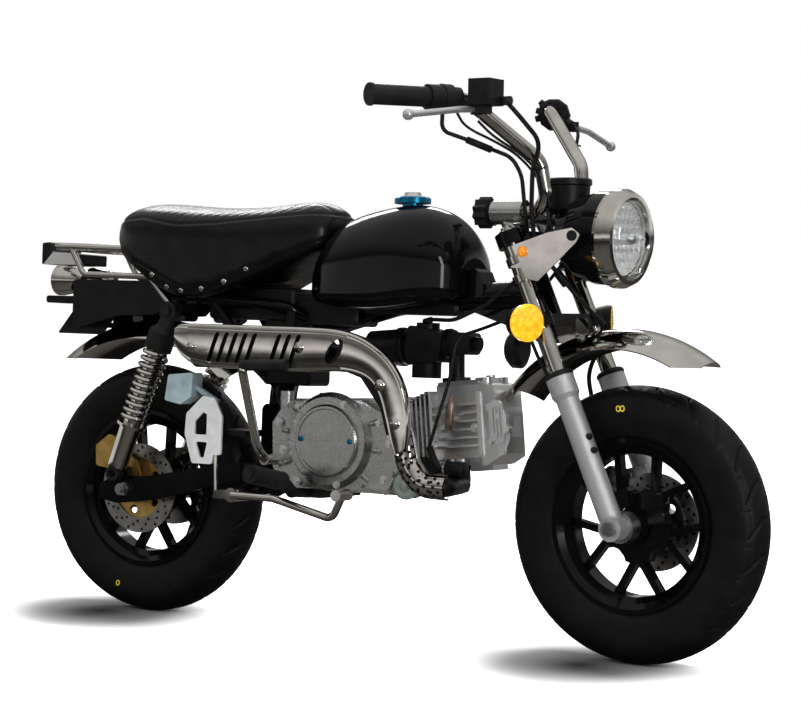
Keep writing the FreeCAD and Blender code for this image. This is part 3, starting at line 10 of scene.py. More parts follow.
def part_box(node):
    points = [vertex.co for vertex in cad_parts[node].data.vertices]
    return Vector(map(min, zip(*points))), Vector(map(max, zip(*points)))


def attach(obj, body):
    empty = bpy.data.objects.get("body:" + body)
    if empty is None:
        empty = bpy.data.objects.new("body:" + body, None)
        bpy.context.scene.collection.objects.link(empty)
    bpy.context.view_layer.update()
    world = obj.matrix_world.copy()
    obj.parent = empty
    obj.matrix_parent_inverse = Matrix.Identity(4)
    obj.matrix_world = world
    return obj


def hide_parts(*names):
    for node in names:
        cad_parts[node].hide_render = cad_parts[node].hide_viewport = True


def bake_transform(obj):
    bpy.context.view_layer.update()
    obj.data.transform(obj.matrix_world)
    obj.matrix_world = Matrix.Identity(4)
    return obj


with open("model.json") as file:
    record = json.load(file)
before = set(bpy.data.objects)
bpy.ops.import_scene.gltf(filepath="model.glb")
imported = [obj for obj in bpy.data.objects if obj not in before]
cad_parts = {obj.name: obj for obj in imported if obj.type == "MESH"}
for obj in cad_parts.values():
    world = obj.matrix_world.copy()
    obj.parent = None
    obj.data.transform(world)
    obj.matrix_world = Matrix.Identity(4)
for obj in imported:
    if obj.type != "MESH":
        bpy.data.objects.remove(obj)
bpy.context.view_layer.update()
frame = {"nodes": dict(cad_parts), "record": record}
nodes = frame["nodes"]

# Driving sizes of the machine, in millimetres, as in the CAD source
wheelBase = 920.6
tyreRadius = 215.0
tyreHalfWidth = 43.0
rakeAngle = 24.0
leanAngle = 4.1
restSteer = -4.1
steerFootPoint = Vector((893.194, 0, 202.798))
forkHalfSpan = 82.0

# Where the upright bike's own axes lie in the frame
lowCorner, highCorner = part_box("rear_tyre")
leanTurn = Matrix.Rotation(math.radians(-leanAngle), 3, "X")
bikeOrigin = (lowCorner + highCorner) / 2 - leanTurn @ Vector((0, 0, tyreRadius / 1000))
steerAxis = Vector((-math.sin(math.radians(rakeAngle)), 0, math.cos(math.radians(rakeAngle))))
steerTurn = Matrix.Rotation(math.radians(restSteer), 3, steerAxis)


def bike(x, y, z):
    # A point of the upright machine, in millimetres, as a point of the frame in metres.
    return leanTurn @ (Vector((x, y, z)) / 1000) + bikeOrigin


def steered(x, y, z):
    # A point of the fork assembly drawn straight ahead, turned to where it rests.
    p = steerTurn @ (Vector((x, y, z)) - steerFootPoint) + steerFootPoint
    return bike(p.x, p.y, p.z)


def bikeWay(x, y, z):
    return (leanTurn @ Vector((x, y, z))).normalized()


def steeredWay(x, y, z):
    return (leanTurn @ (steerTurn @ Vector((x, y, z)))).normalized()


# Patterns that the finishes are built from

patternSettings = dict(
    cloudFrom=0.32, cloudTo=0.68,  # part of the noise that is stretched from low to high
    creaseScale=45.0, pebbleShare=0.5)


def socketOf(tree, name, kind, inOut, default=None):
    s = tree.interface.new_socket(name=name, in_out=inOut, socket_type=kind)
    if default is not None:
        s.default_value = default
    return s


def makeMottleGroup():
    # Cloudy value between Low and High over the object's own coordinates.
    tree = bpy.data.node_groups.new("mottle", "ShaderNodeTree")
    socketOf(tree, "Scale", "NodeSocketFloat", "INPUT", 20.0)
    socketOf(tree, "Detail", "NodeSocketFloat", "INPUT", 4.0)
    socketOf(tree, "Low", "NodeSocketFloat", "INPUT", 0.2)
    socketOf(tree, "High", "NodeSocketFloat", "INPUT", 0.4)
    socketOf(tree, "Value", "NodeSocketFloat", "OUTPUT")
    put = tree.nodes.new
    start, end = put("NodeGroupInput"), put("NodeGroupOutput")
    coords, noise, remap = put("ShaderNodeTexCoord"), put("ShaderNodeTexNoise"), put("ShaderNodeMapRange")
    remap.inputs["From Min"].default_value = patternSettings["cloudFrom"]
    remap.inputs["From Max"].default_value = patternSettings["cloudTo"]
    join = tree.links.new
    join(coords.outputs["Object"], noise.inputs["Vector"])
    join(start.outputs["Scale"], noise.inputs["Scale"])
    join(start.outputs["Detail"], noise.inputs["Detail"])
    join(noise.outputs["Fac"], remap.inputs["Value"])
    join(start.outputs["Low"], remap.inputs["To Min"])
    join(start.outputs["High"], remap.inputs["To Max"])
    join(remap.outputs["Result"], end.inputs["Value"])
    return tree


def makeLeatherGroup():
    # Height of a fine pebbled grain with soft creases.
    tree = bpy.data.node_groups.new("leatherGrain", "ShaderNodeTree")
    socketOf(tree, "Scale", "NodeSocketFloat", "INPUT", 700.0)
    socketOf(tree, "Height", "NodeSocketFloat", "OUTPUT")
    put = tree.nodes.new
    start, end = put("NodeGroupInput"), put("NodeGroupOutput")
    coords, cells, folds = put("ShaderNodeTexCoord"), put("ShaderNodeTexVoronoi"), put("ShaderNodeTexNoise")
    cells.feature = "SMOOTH_F1"
    folds.inputs["Scale"].default_value = patternSettings["creaseScale"]
    mix = put("ShaderNodeMath")
    mix.operation = "MULTIPLY_ADD"
    mix.inputs[1].default_value = patternSettings["pebbleShare"]
    join = tree.links.new
    join(coords.outputs["Object"], cells.inputs["Vector"])
    join(coords.outputs["Object"], folds.inputs["Vector"])
    join(start.outputs["Scale"], cells.inputs["Scale"])
    join(cells.outputs["Distance"], mix.inputs[0])
    join(folds.outputs["Fac"], mix.inputs[2])
    join(mix.outputs["Value"], end.inputs["Height"])
    return tree


mottle = makeMottleGroup()
leatherGrain = makeLeatherGroup()

finishes = {
    # darkest and lightest colour, range of roughness, scale of their clouds, scale and depth of the
    # bump; wave is the bump's height in metres, shine the specular level, leather the grain's strength,
    # glow a painted glow
    "tyre_rubber": dict(colours=((0.002, 0.002, 0.0022), (0.0045, 0.0045, 0.0048)),
                        rough=(0.38, 0.55), scale=30, bump=(900, 0.08), shine=0.22),
    "gloss_black": dict(colours=((0.0015, 0.0015, 0.0018), (0.003, 0.003, 0.0034)),
                        rough=(0.06, 0.14), scale=14, bump=(260, 0.005), coat=0.12, shine=0.14),
    "satin_black": dict(colours=((0.003, 0.003, 0.0033), (0.006, 0.006, 0.0063)), rough=(0.3, 0.45),
                        scale=40, bump=(900, 0.06), shine=0.25),
    "chrome": dict(colours=((0.56, 0.54, 0.51), (0.72, 0.71, 0.69)), metallic=1.0,
                   rough=(0.05, 0.12), scale=22, bump=(9, 0.10), wave=0.004),
    "cast_alloy": dict(colours=((0.56, 0.57, 0.575), (0.62, 0.63, 0.635)), metallic=1.0,
                       rough=(0.24, 0.3), scale=60, bump=(900, 0.03)),
    "bright_alloy": dict(colours=((0.76, 0.77, 0.775), (0.82, 0.83, 0.835)), metallic=0.9,
                         rough=(0.30, 0.34), scale=12, bump=(60, 0.002)),
    "steel": dict(colours=((0.30, 0.30, 0.30), (0.46, 0.45, 0.44)), metallic=1.0,
                  rough=(0.25, 0.4), scale=70, bump=(700, 0.04)),
    "gold": dict(colours=((0.50, 0.30, 0.08), (0.72, 0.48, 0.16)), metallic=0.9,
                 rough=(0.28, 0.42), scale=60, bump=(700, 0.05)),
    "blue_anodised": dict(colours=((0.005, 0.10, 0.22), (0.01, 0.20, 0.38)), metallic=0.8,
                          rough=(0.2, 0.34), scale=60, bump=(600, 0.03)),
    # the amber lenses carry a painted glow: they send out light with no lit lamp behind them
    "amber_lens": dict(colours=((0.95, 0.36, 0.005), (1.0, 0.62, 0.02)), rough=(0.1, 0.2),
                       scale=120, bump=(400, 0.15), coat=1.0, glow=0.35),
    "red_lens": dict(colours=((0.25, 0.006, 0.006), (0.45, 0.012, 0.01)), rough=(0.12, 0.2),
                     scale=80, bump=(400, 0.05), coat=1.0),
    "milky": dict(colours=((0.20, 0.27, 0.30), (0.32, 0.40, 0.43)), rough=(0.28, 0.4),
                  scale=40, bump=(400, 0.03), coat=0.3),
    "rubber": dict(colours=((0.004, 0.004, 0.004), (0.009, 0.009, 0.009)), rough=(0.4, 0.55),
                   scale=60, bump=(900, 0.1), shine=0.3),
    "white_paint": dict(colours=((0.66, 0.67, 0.68), (0.78, 0.79, 0.80)), metallic=0.3,
                        rough=(0.3, 0.42), scale=50, bump=(700, 0.05)),
    "yellow_paint": dict(colours=((0.62, 0.46, 0.02), (0.8, 0.62, 0.05)), rough=(0.5, 0.6),
                         scale=200, bump=(900, 0.05)),
    "copper": dict(colours=((0.50, 0.22, 0.10), (0.66, 0.34, 0.18)), metallic=1.0,
                   rough=(0.25, 0.4), scale=90, bump=(700, 0.05)),
    # the reflector carries a painted glow, light of its own that stands for its bright reflections
    "mirror": dict(colours=((0.80, 0.81, 0.82), (0.93, 0.93, 0.93)), metallic=0.9,
                   rough=(0.08, 0.2), scale=300, bump=(500, 0.12), glow=0.22),
    "silver_paint": dict(colours=((0.50, 0.51, 0.515), (0.62, 0.63, 0.635)), metallic=0.75,
                         rough=(0.34, 0.42), scale=700, bump=(1500, 0.12), coat=0.3),
    "green_alloy": dict(colours=((0.30, 0.36, 0.33), (0.38, 0.44, 0.41)), metallic=0.7,
                        rough=(0.3, 0.42), scale=60, bump=(900, 0.05)),
    "boot_tan": dict(colours=((0.16, 0.11, 0.08), (0.34, 0.26, 0.20)), rough=(0.25, 0.4),
                     scale=80, bump=(700, 0.05), metallic=0.8),
    # the stays' small amber lamps carry a painted glow too, though nothing lights them
    "amber_small": dict(colours=((0.75, 0.22, 0.01), (0.9, 0.32, 0.02)), rough=(0.1, 0.2),
                        scale=120, bump=(400, 0.1), coat=1.0, glow=0.15),
    "seat_vinyl": dict(colours=((0.0018, 0.0018, 0.002), (0.0036, 0.0036, 0.004)),
                       rough=(0.24, 0.36), scale=30, coat=0.12, leather=0.35, shine=0.22),
}


# What a finish has where its own row says nothing
plainFinish = dict(metallic=0.0, coat=0.0, coatRoughness=0.06, shine=0.5, glow=0.0, wave=0.001,
                   leather=0.0, roughSpread=1.7)


def mottled(tree, low, high, scale, detail=4.0):
    # The output of one more mottle group in a material's tree.
    group = tree.nodes.new("ShaderNodeGroup")
    group.node_tree = mottle
    for key, value in (("Scale", scale), ("Detail", detail), ("Low", low), ("High", high)):
        group.inputs[key].default_value = value
    return group.outputs["Value"]


def makeFinish(name, ownValues):
    # Principled material whose colour, roughness and bump vary over the object.
    s = {**plainFinish, **ownValues}
    material = bpy.data.materials.new(name)
    material.use_nodes = True
    tree = material.node_tree
    shader = tree.nodes["Principled BSDF"]
    join = tree.links.new
    mix = tree.nodes.new("ShaderNodeMix")
    mix.data_type = "RGBA"
    mix.inputs[6].default_value = (*s["colours"][0], 1)
    mix.inputs[7].default_value = (*s["colours"][1], 1)
    join(mottled(tree, 0, 1, s["scale"]), mix.inputs[0])
    join(mix.outputs[2], shader.inputs["Base Color"])
    join(mottled(tree, *s["rough"], s["scale"] * s["roughSpread"]), shader.inputs["Roughness"])
    for key, value in (("Metallic", s["metallic"]), ("Coat Weight", s["coat"]),
                       ("Coat Roughness", s["coatRoughness"]), ("Specular IOR Level", s["shine"])):
        shader.inputs[key].default_value = value
    # Painted glow: the finish's own colour sent out as light, from parts with no lit lamp
    if s["glow"]:
        join(mix.outputs[2], shader.inputs["Emission Color"])
        shader.inputs["Emission Strength"].default_value = s["glow"]
    bump = tree.nodes.new("ShaderNodeBump")
    bump.inputs["Distance"].default_value = s["wave"]
    if s["leather"]:
        grain = tree.nodes.new("ShaderNodeGroup")
        grain.node_tree = leatherGrain
        bump.inputs["Strength"].default_value = s["leather"]
        join(grain.outputs["Height"], bump.inputs["Height"])
    else:
        scale, depth = s["bump"]
        bump.inputs["Strength"].default_value = min(1.0, depth * 2)
        join(mottled(tree, 0, 1, scale, 2.0 if scale > 20 else 0.0), bump.inputs["Height"])
    join(bump.outputs["Normal"], shader.inputs["Normal"])
    return material


glassSettings = dict(colour=(0.93, 0.95, 0.95), rough=(0.018, 0.03), scale=60, detail=3, refraction=1.45)


def makeGlass(name):
    s = glassSettings
    material = bpy.data.materials.new(name)
    material.use_nodes = True
    tree = material.node_tree
    shader = tree.nodes["Principled BSDF"]
    shader.inputs["Base Color"].default_value = (*s["colour"], 1)
    shader.inputs["Transmission Weight"].default_value = 1.0
    shader.inputs["IOR"].default_value = s["refraction"]
    tree.links.new(mottled(tree, *s["rough"], s["scale"], s["detail"]), shader.inputs["Roughness"])
    return material


looks = {name: makeFinish(name, ownValues) for name, ownValues in finishes.items()}
looks["clear_glass"] = makeGlass("clear_glass")
looks["clear_lens"] = looks["clear_glass"]


# Finishes on the CAD nodes

slotOfNode = {row["node"]: row["material_slot"] for row in frame["record"]["subparts"]}
otherFinishes = {"drive_chain": "steel", "fork_legs": "silver_paint"}  # in place of their slot's

# The plane between an indicator's housing and its lens, on the fork drawn straight
indicatorSettings = dict(x=786, y=128, way=(0.899, 0.438), right=1.5, left=8.2)


def isIndicatorHousing(c):
    s = indicatorSettings
    c = straightened(c)
    along = (c.x - s["x"]) * s["way"][0] + (abs(c.y) - s["y"]) * s["way"][1]
    return along < (s["right"] if c.y < 0 else s["left"])


def nearInSide(c, x, z, reach):
    # Whether a point lies near a place of the side view.
    return (c.xz - Vector((x, z))).length < reach


# Faces of a node with a finish of their own, told by where their middle lies on the upright machine
partFinishes = (
    ("foot_levers", "rubber", lambda c: c.y < -165 and 424 < c.z < 452 and c.x > 302),  # kick pedal
    ("bar_holders", "rubber", lambda c: straightened(c).x < 678),  # star knobs
    ("fuel_cap", "bright_alloy", lambda c: c.z > 720.5),  # the cap's boss
    ("front_indicators", "satin_black", isIndicatorHousing),
    ("tail_light", "satin_black", lambda c: c.x > -238.5),  # base behind the lens
    ("tail_light", "bright_alloy", lambda c: c.x > -218 and abs(c.y) > 41.5),  # its two cups
    ("shock_absorbers", "rubber",
     lambda c: nearInSide(c, 90, 521, 70) or nearInSide(c, -15, 241, 18)),  # covers and eyes
    ("rear_disc", "gold", lambda c: nearInSide(c, 0, tyreRadius, 50)),  # disc's carrier
    ("guard_plate", "satin_black", lambda c: c.y > -126),  # brackets and master cylinder
    # the shield's faces behind the new skin are painted black: painted shade that makes its slots and oval
    # show dark
    ("heat_shield", "satin_black",
     lambda c: c.y < -160.9 and (c.z > 346 or c.x < 560) and c.x < 600))  # plate behind the skin


def straightened(c):
    # A point of the turned fork assembly, moved to where the assembly is drawn.
    return steerTurn.inverted() @ (c - steerFootPoint) + steerFootPoint


def paint(node, look):
    # Gives a CAD node a finish in place of its plain packed one.
    mesh = nodes[node].data
    mesh.materials.clear()
    mesh.materials.append(looks[look])
    mesh.polygons.foreach_set("material_index", [0] * len(mesh.polygons))


def paintPart(node, look, test):
    # Another finish on the faces whose middle passes a test.
    mesh = nodes[node].data
    mesh.materials.append(looks[look])
    index = len(mesh.materials) - 1
    upright = leanTurn.inverted()
    for face in mesh.polygons:
        if test(upright @ (face.center - bikeOrigin) * 1000):
            face.material_index = index


for node, slotName in slotOfNode.items():
    paint(node, otherFinishes.get(node, slotName))
for node, look, test in partFinishes:
    paintPart(node, look, test)
print("stage: finishes on", len(slotOfNode), "nodes")


# Mesh helpers

def linked(name, content):
    # A new object in the scene that holds a mesh, a lamp or a camera.
    made = bpy.data.objects.new(name, content)
    bpy.context.scene.collection.objects.link(made)
    return made


def shadeFaces(mesh, smooth=True):
    mesh.polygons.foreach_set("use_smooth", [smooth] * len(mesh.polygons))


def newPiece(name, points, faces, look, body, smooth=True, slot=None):
    # A finished mesh in frame coordinates, riding on its body unless that is None.
    mesh = bpy.data.meshes.new(name)
    mesh.from_pydata([tuple(p) for p in points], [], faces)
    mesh.validate()
    mesh.update()
    mesh.materials.append(looks[look])
    shadeFaces(mesh, smooth)
    piece = linked(name, mesh)
    if body:
        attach(piece, body)
    return piece


def withModifiersApplied(piece):
    # Makes what the modifiers show the piece's own mesh, and takes them off.
    graph = bpy.context.evaluated_depsgraph_get()
    mesh = bpy.data.meshes.new_from_object(piece.evaluated_get(graph))
    piece.modifiers.clear()
    piece.data = mesh
    return mesh


def turnFacesOut(mesh):
    bm = bmesh.new()
    bm.from_mesh(mesh)
    bmesh.ops.recalc_face_normals(bm, faces=bm.faces)
    bm.to_mesh(mesh)
    bm.free()


def softened(knots, rounds=3):
    # A line of points with its corners cut, round after round.
    line = np.array(knots, float)
    for _ in range(rounds):
        near, far = line[:-1] * 0.75 + line[1:] * 0.25, line[:-1] * 0.25 + line[1:] * 0.75
        line = np.vstack([line[:1], np.stack([near, far], 1).reshape(-1, line.shape[1]), line[-1:]])
    return line


def gridFaces(rows, columns, closeRows=False, closeColumns=False):
    # Quads of a grid stored row by row.
    faces = []
    for i in range(rows if closeRows else rows - 1):
        for j in range(columns if closeColumns else columns - 1):
            a, b = i * columns + j, i * columns + (j + 1) % columns
            c, d = ((i + 1) % rows) * columns + (j + 1) % columns, ((i + 1) % rows) * columns + j
            faces.append((a, b, c, d))
    return faces


def prism(rings):
    # Points and faces of a closed form whose rings follow each other from right to left.
    count = len(rings[0])
    points = [p for ring in rings for p in ring]
    sides = [face[::-1] for face in gridFaces(len(rings), count, closeColumns=True)]
    ends = [tuple(range(count)), tuple(range(len(points) - 1, len(points) - count - 1, -1))]
    return points, sides + ends


def basisAround(axis):
    axis = Vector(axis).normalized()
    side = axis.cross(Vector((0, 0, 1)) if abs(axis.z) < 0.9 else Vector((1, 0, 0))).normalized()
    return side, axis.cross(side), axis


def turned(profile, centre, axis, steps=48):
    # Points and faces of a profile of (distance along, radius) turned about an axis, in mm.
    side, up, axis = basisAround(axis)
    points = []
    for along, radius in profile:
        for k in range(steps):
            a = 2 * math.pi * k / steps
            points.append(centre + (axis * along + (side * math.cos(a) + up * math.sin(a)) * radius)
                          / 1000)
    return points, gridFaces(len(profile), steps, closeColumns=True)


def tube(path, radius, steps=10, rounds=3):
    # Points and faces of a round cord along a softened path of frame points.
    line = [Vector(p) for p in softened(path, rounds)]
    points, side = [], None
    for i, p in enumerate(line):
        ahead = (line[min(i + 1, len(line) - 1)] - line[max(i - 1, 0)]).normalized()
        side = (side - ahead * side.dot(ahead)).normalized() if side else basisAround(ahead)[0]
        up = ahead.cross(side)
        for k in range(steps):
            a = 2 * math.pi * k / steps
            points.append(p + (side * math.cos(a) + up * math.sin(a)) * radius / 1000)
    faces = gridFaces(len(line), steps, closeColumns=True)
    first, last = list(range(steps)), list(range(len(points) - steps, len(points)))
    return points, faces + [tuple(reversed(first)), tuple(last)]


def joined(parts):
    # One list of points and faces from several.
    points, faces = [], []
    for p, f in parts:
        faces += [tuple(i + len(points) for i in face) for face in f]
        points += list(p)
    return points, faces


def surfacePoint(piece, start, way, reach=0.2):
    # Where a ray first meets a piece, and the surface's direction there.
    hit, place, normal, _ = piece.ray_cast(start, way, distance=reach)
    return (place, normal) if hit else (None, None)


# Tyres: carcass section with shoulder ribs and curved tread grooves cut in it

tyreSettings = dict(
    around=720, across=84,  # faces round the tyre and across its section
    # half of the outside, from the bead to beside the crown, as (side, radius)
    section=((30, 134), (33, 138), (38.5, 150), (41.6, 163), (tyreHalfWidth - 0.3, 176), (41.4, 188),
             (38, 198), (31.5, 204), (24, 208.6), (14, 212.6), (5, 214.4)),
    crown=tyreRadius - 0.3, treadFrom=193,
    # curved grooves on each side, and how many degrees their outer ends trail
    grooves=24, grooveDepth=3.2, grooveHalf=2.6, grooveEnds=(3, 37), grooveFade=2, grooveTrail=9.0,
    grooveRun=33, endWidth=0.35, middleWidth=0.9,  # its width's share at the ends and what the middle adds
    # short notches in the shoulder between them, and their share of the depth
    notchTurn=12.0, notchHalf=1.0, notchEnds=(30, 40.5), notchFade=1.5, notchShare=0.55,
    ribs=(141, 146, 186), ribHeight=0.7, ribHalf=0.9, ribsBeyond=30)


def tyreSection(count):
    # Evenly spread (side, radius) points of the outside, from bead to bead over the crown.
    half = list(tyreSettings["section"])
    line = softened(half + [(0, tyreSettings["crown"])] + [(-side, radius) for side, radius in half[::-1]])
    run = np.concatenate([[0], np.cumsum(np.linalg.norm(np.diff(line, axis=0), axis=1))])
    at = np.linspace(0, run[-1], count)
    return np.stack([np.interp(at, run, line[:, 0]), np.interp(at, run, line[:, 1])], 1)


def fadeIn(value, start, run):
    # 0 up to a start and 1 after a run.
    return np.clip((value - start) / run, 0, 1)


def distanceToStep(angle, step):
    # Millimetres along the crown to the nearest multiple of a step in degrees.
    phase = angle % step
    return np.minimum(phase, step - phase) * math.radians(1) * tyreRadius


def treadMask(angle, side):
    # Share of the groove's depth at an angle in degrees and a place across in mm.
    t = tyreSettings
    step = 360.0 / t["grooves"]
    depth = np.zeros(np.broadcast(angle, side).shape)
    for hand in (-1, 1):
        lateral = side * hand
        offset = 0 if hand > 0 else step / 2
        inner, outer = t["grooveEnds"]
        reach = fadeIn(lateral, inner, t["grooveRun"])
        away = distanceToStep(angle - t["grooveTrail"] * reach ** 1.7 - offset, step)
        width = t["grooveHalf"] * (t["endWidth"] + t["middleWidth"] * np.sin(np.pi * reach))
        fade = t["grooveFade"]
        groove = (1 - fadeIn(away, width, 1.0)) * fadeIn(lateral, inner, fade)
        groove = groove * fadeIn(-lateral, -outer, fade)
        inner, outer = t["notchEnds"]
        away = distanceToStep(angle - t["notchTurn"] - offset, step)
        fade = t["notchFade"]
        notch = (1 - fadeIn(away, t["notchHalf"], 1.0)) * fadeIn(lateral, inner, fade)
        notch = notch * fadeIn(-lateral, -outer, fade)
        depth = np.maximum(depth, np.maximum(groove, notch * t["notchShare"]))
    return depth


def makeTyre(name, node, centre, way, body):
    t = tyreSettings
    section = tyreSection(t["across"])
    angle = np.linspace(0, 360, t["around"], endpoint=False)
    side, radius = section[:, 0], section[:, 1]
    slope = np.gradient(section, axis=0)
    normal = np.stack([-slope[:, 1], slope[:, 0]], 1)
    normal /= np.linalg.norm(normal, axis=1)[:, None]
    if normal[len(normal) // 2, 1] < 0:
        normal = -normal
    depth = treadMask(angle[:, None], side[None, :]) * fadeIn(radius, t["treadFrom"], 3)[None, :]
    wall = np.abs(side) > t["ribsBeyond"]
    rib = sum(t["ribHeight"] * np.exp(-((radius - r) / t["ribHalf"]) ** 2) * wall for r in t["ribs"])
    move = -depth * t["grooveDepth"] + rib[None, :] - t["ribHeight"] * wall[None, :]
    across = side[None, :] + normal[None, :, 0] * move
    out = radius[None, :] + normal[None, :, 1] * move
    u, v, w = (np.array(part)[None, None, :] for part in basisAround(way))
    a = np.radians(angle)[:, None]
    place = np.array(centre)[None, None, :] + (w * across[..., None] + u * (out * np.cos(a))[..., None]
                                               + v * (out * np.sin(a))[..., None]) / 1000
    faces = gridFaces(t["around"], t["across"], closeRows=True)
    piece = newPiece(name, place.reshape(-1, 3), faces, "tyre_rubber", body, slot="tyre_rubber")
    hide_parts(node)


rearHub, rearWay = bike(0, 0, tyreRadius), bikeWay(0, 1, 0)
frontHub, frontWay = steered(wheelBase, 0, tyreRadius), steeredWay(0, 1, 0)
makeTyre("rear_tyre_tread", "rear_tyre", rearHub, rearWay, "rear_wheel")
makeTyre("front_tyre_tread", "front_tyre", frontHub, frontWay, "front_wheel")
print("stage: tyres")


# Seat: padded cover with a side seam, a pleated top panel and a stitched hem

seatSettings = dict(
    voxel=0.005, smoothing=12, fill=0.8,
    # side view of the seam and of the lower edge
    seam=((-60, 668), (-20, 676), (29, 680), (102, 668), (181, 671), (289, 684), (340, 690), (380, 690)),
    lowEdge=((-60, 640), (-20, 610), (56, 578), (125, 547), (187, 555), (272, 592), (355, 632),
             (380, 645)),
    seamDepth=1.6, seamHalf=2.6, beadHeight=0.7, beadBelow=4.5, beadHalf=2.4,
    pleatPitch=17.0, pleatDepth=0.7, pleatShare=0.16, pleatSlant=0.45,
    panelHalf=26, panelFade=12, panelSeamHalf=2.2, hemDepth=0.9, hemAbove=12, hemHalf=2.2,
    rumple=0.16, rumpleWaves=(0.11, 0.07),
    # how far a face may look up and still take the seam, when it starts to be the top, and the hem's side
    seamFacing=0.97, topFacing=0.1, topFacingRun=0.3, topRun=6, hemFacing=0.4)


def ridge(distance, half):
    # 1 on a line, and fading away on both sides of it.
    return np.exp(-(distance / half) ** 2)


def heightAt(line, x):
    # Height of a side view's line over each x.
    places, heights = np.array(line, float).T
    return np.interp(x, places, heights)


def seatPush(x, y, z, faceY, faceZ):
    # How far each point of the cover moves along its normal, in millimetres.
    s = seatSettings
    away = z - heightAt(s["seam"], x)
    groove = ridge(away, s["seamHalf"]) * (np.abs(faceZ) < s["seamFacing"])
    bead = ridge(away + s["beadBelow"], s["beadHalf"]) * s["beadHeight"]
    top = fadeIn(away, 0, s["topRun"]) * fadeIn(faceZ, s["topFacing"], s["topFacingRun"])
    wave = np.abs((((x + np.abs(y) * s["pleatSlant"]) / s["pleatPitch"]) % 1) - 0.5) * 2
    pleat = ridge(1 - wave, s["pleatShare"]) * fadeIn(np.abs(y), s["panelHalf"], s["panelFade"])
    panel = ridge(np.abs(y) - s["panelHalf"], s["panelSeamHalf"])
    hem = ridge(z - heightAt(s["lowEdge"], x) - s["hemAbove"], s["hemHalf"])
    hem = hem * (np.abs(faceY) > s["hemFacing"])
    rumple = s["rumple"] * np.sin(x * s["rumpleWaves"][0] + z * s["rumpleWaves"][1]) * (1 - top)
    return (bead - s["seamDepth"] * groove - s["pleatDepth"] * top * np.maximum(pleat, panel)
            + rumple - s["hemDepth"] * hem)


def makeSeat():
    # Remeshed and smoothed copy of the seat's solid, with its seams pressed in after.
    s = seatSettings
    piece = linked("seat_cover", nodes["seat"].data.copy())
    remesh = piece.modifiers.new("remesh", "REMESH")
    remesh.mode = "VOXEL"
    remesh.voxel_size = s["voxel"]
    smooth = piece.modifiers.new("smooth", "CORRECTIVE_SMOOTH")
    smooth.use_only_smooth = True
    smooth.iterations = s["smoothing"]
    divide = piece.modifiers.new("divide", "SUBSURF")
    divide.levels = divide.render_levels = 1
    mesh = withModifiersApplied(piece)
    mesh.materials.clear()
    mesh.materials.append(looks["seat_vinyl"])
    place, normal = np.zeros(len(mesh.vertices) * 3), np.zeros(len(mesh.vertices) * 3)
    mesh.vertices.foreach_get("co", place)
    mesh.vertices.foreach_get("normal", normal)
    place, normal = place.reshape(-1, 3), normal.reshape(-1, 3)
    upright = np.array(leanTurn)
    x, y, z = (((place - np.array(bikeOrigin)) @ upright) * 1000).T
    _, faceY, faceZ = (normal @ upright).T
    place = place + normal * (seatPush(x, y, z, faceY, faceZ) / 1000)[:, None]
    mesh.vertices.foreach_set("co", place.ravel())
    shadeFaces(mesh)
    mesh.update()
    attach(piece, "chassis")
    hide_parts("seat")
    return piece


seatPiece = makeSeat()
print("stage: seat,", len(seatPiece.data.polygons), "faces")


# Heads of screws, rivets and bolts, and all small round marks: one tree of geometry nodes

studSettings = dict(washerSides=24, washerHeight=0.0012, domeSegments=18, domeRings=10, domeFlatness=0.55)


def makeStudTree():
    # Sets a turned head, or a many-sided one on a washer, on every point.
    tree = bpy.data.node_groups.new("studHeads", "GeometryNodeTree")
    socketOf(tree, "Geometry", "NodeSocketGeometry", "OUTPUT")
    socketOf(tree, "Points", "NodeSocketGeometry", "INPUT")
    for name, kind, value in (("Radius", "NodeSocketFloat", 0.004), ("Height", "NodeSocketFloat", 0.003),
                              ("Sides", "NodeSocketInt", 6), ("Washer", "NodeSocketFloat", 0.0),
                              ("Dome", "NodeSocketFloat", 0.0)):
        socketOf(tree, name, kind, "INPUT", value)
    socketOf(tree, "Finish", "NodeSocketMaterial", "INPUT")
    put, join = tree.nodes.new, tree.links.new
    start, end = put("NodeGroupInput"), put("NodeGroupOutput")
    head, washer, dome = (put("GeometryNodeMeshCylinder"), put("GeometryNodeMeshCylinder"),
                          put("GeometryNodeMeshUVSphere"))
    washer.inputs["Vertices"].default_value = studSettings["washerSides"]
    washer.inputs["Depth"].default_value = studSettings["washerHeight"]
    dome.inputs["Segments"].default_value = studSettings["domeSegments"]
    dome.inputs["Rings"].default_value = studSettings["domeRings"]
    join(start.outputs["Sides"], head.inputs["Vertices"])
    join(start.outputs["Radius"], head.inputs["Radius"])
    join(start.outputs["Height"], head.inputs["Depth"])
    join(start.outputs["Washer"], washer.inputs["Radius"])
    join(start.outputs["Dome"], dome.inputs["Radius"])
    squash, both, spread = (put("GeometryNodeTransform"), put("GeometryNodeJoinGeometry"),
                            put("GeometryNodeInstanceOnPoints"))
    squash.inputs["Scale"].default_value = (1, 1, studSettings["domeFlatness"])
    join(dome.outputs["Mesh"], squash.inputs["Geometry"])
    for piece in (head, washer, squash):
        join(piece.outputs[0], both.inputs[0])
    way, turn = put("GeometryNodeInputNamedAttribute"), put("FunctionNodeAlignRotationToVector")
    way.data_type = "FLOAT_VECTOR"
    way.inputs["Name"].default_value = "way"
    join(way.outputs["Attribute"], turn.inputs["Vector"])
    join(start.outputs["Points"], spread.inputs["Points"])
    join(both.outputs[0], spread.inputs["Instance"])
    join(turn.outputs["Rotation"], spread.inputs["Rotation"])
    real, coat = put("GeometryNodeRealizeInstances"), put("GeometryNodeSetMaterial")
    join(spread.outputs[0], real.inputs[0])
    join(real.outputs[0], coat.inputs["Geometry"])
    join(start.outputs["Finish"], coat.inputs["Material"])
    join(coat.outputs["Geometry"], end.inputs[0])
    return tree

studTree = makeStudTree()


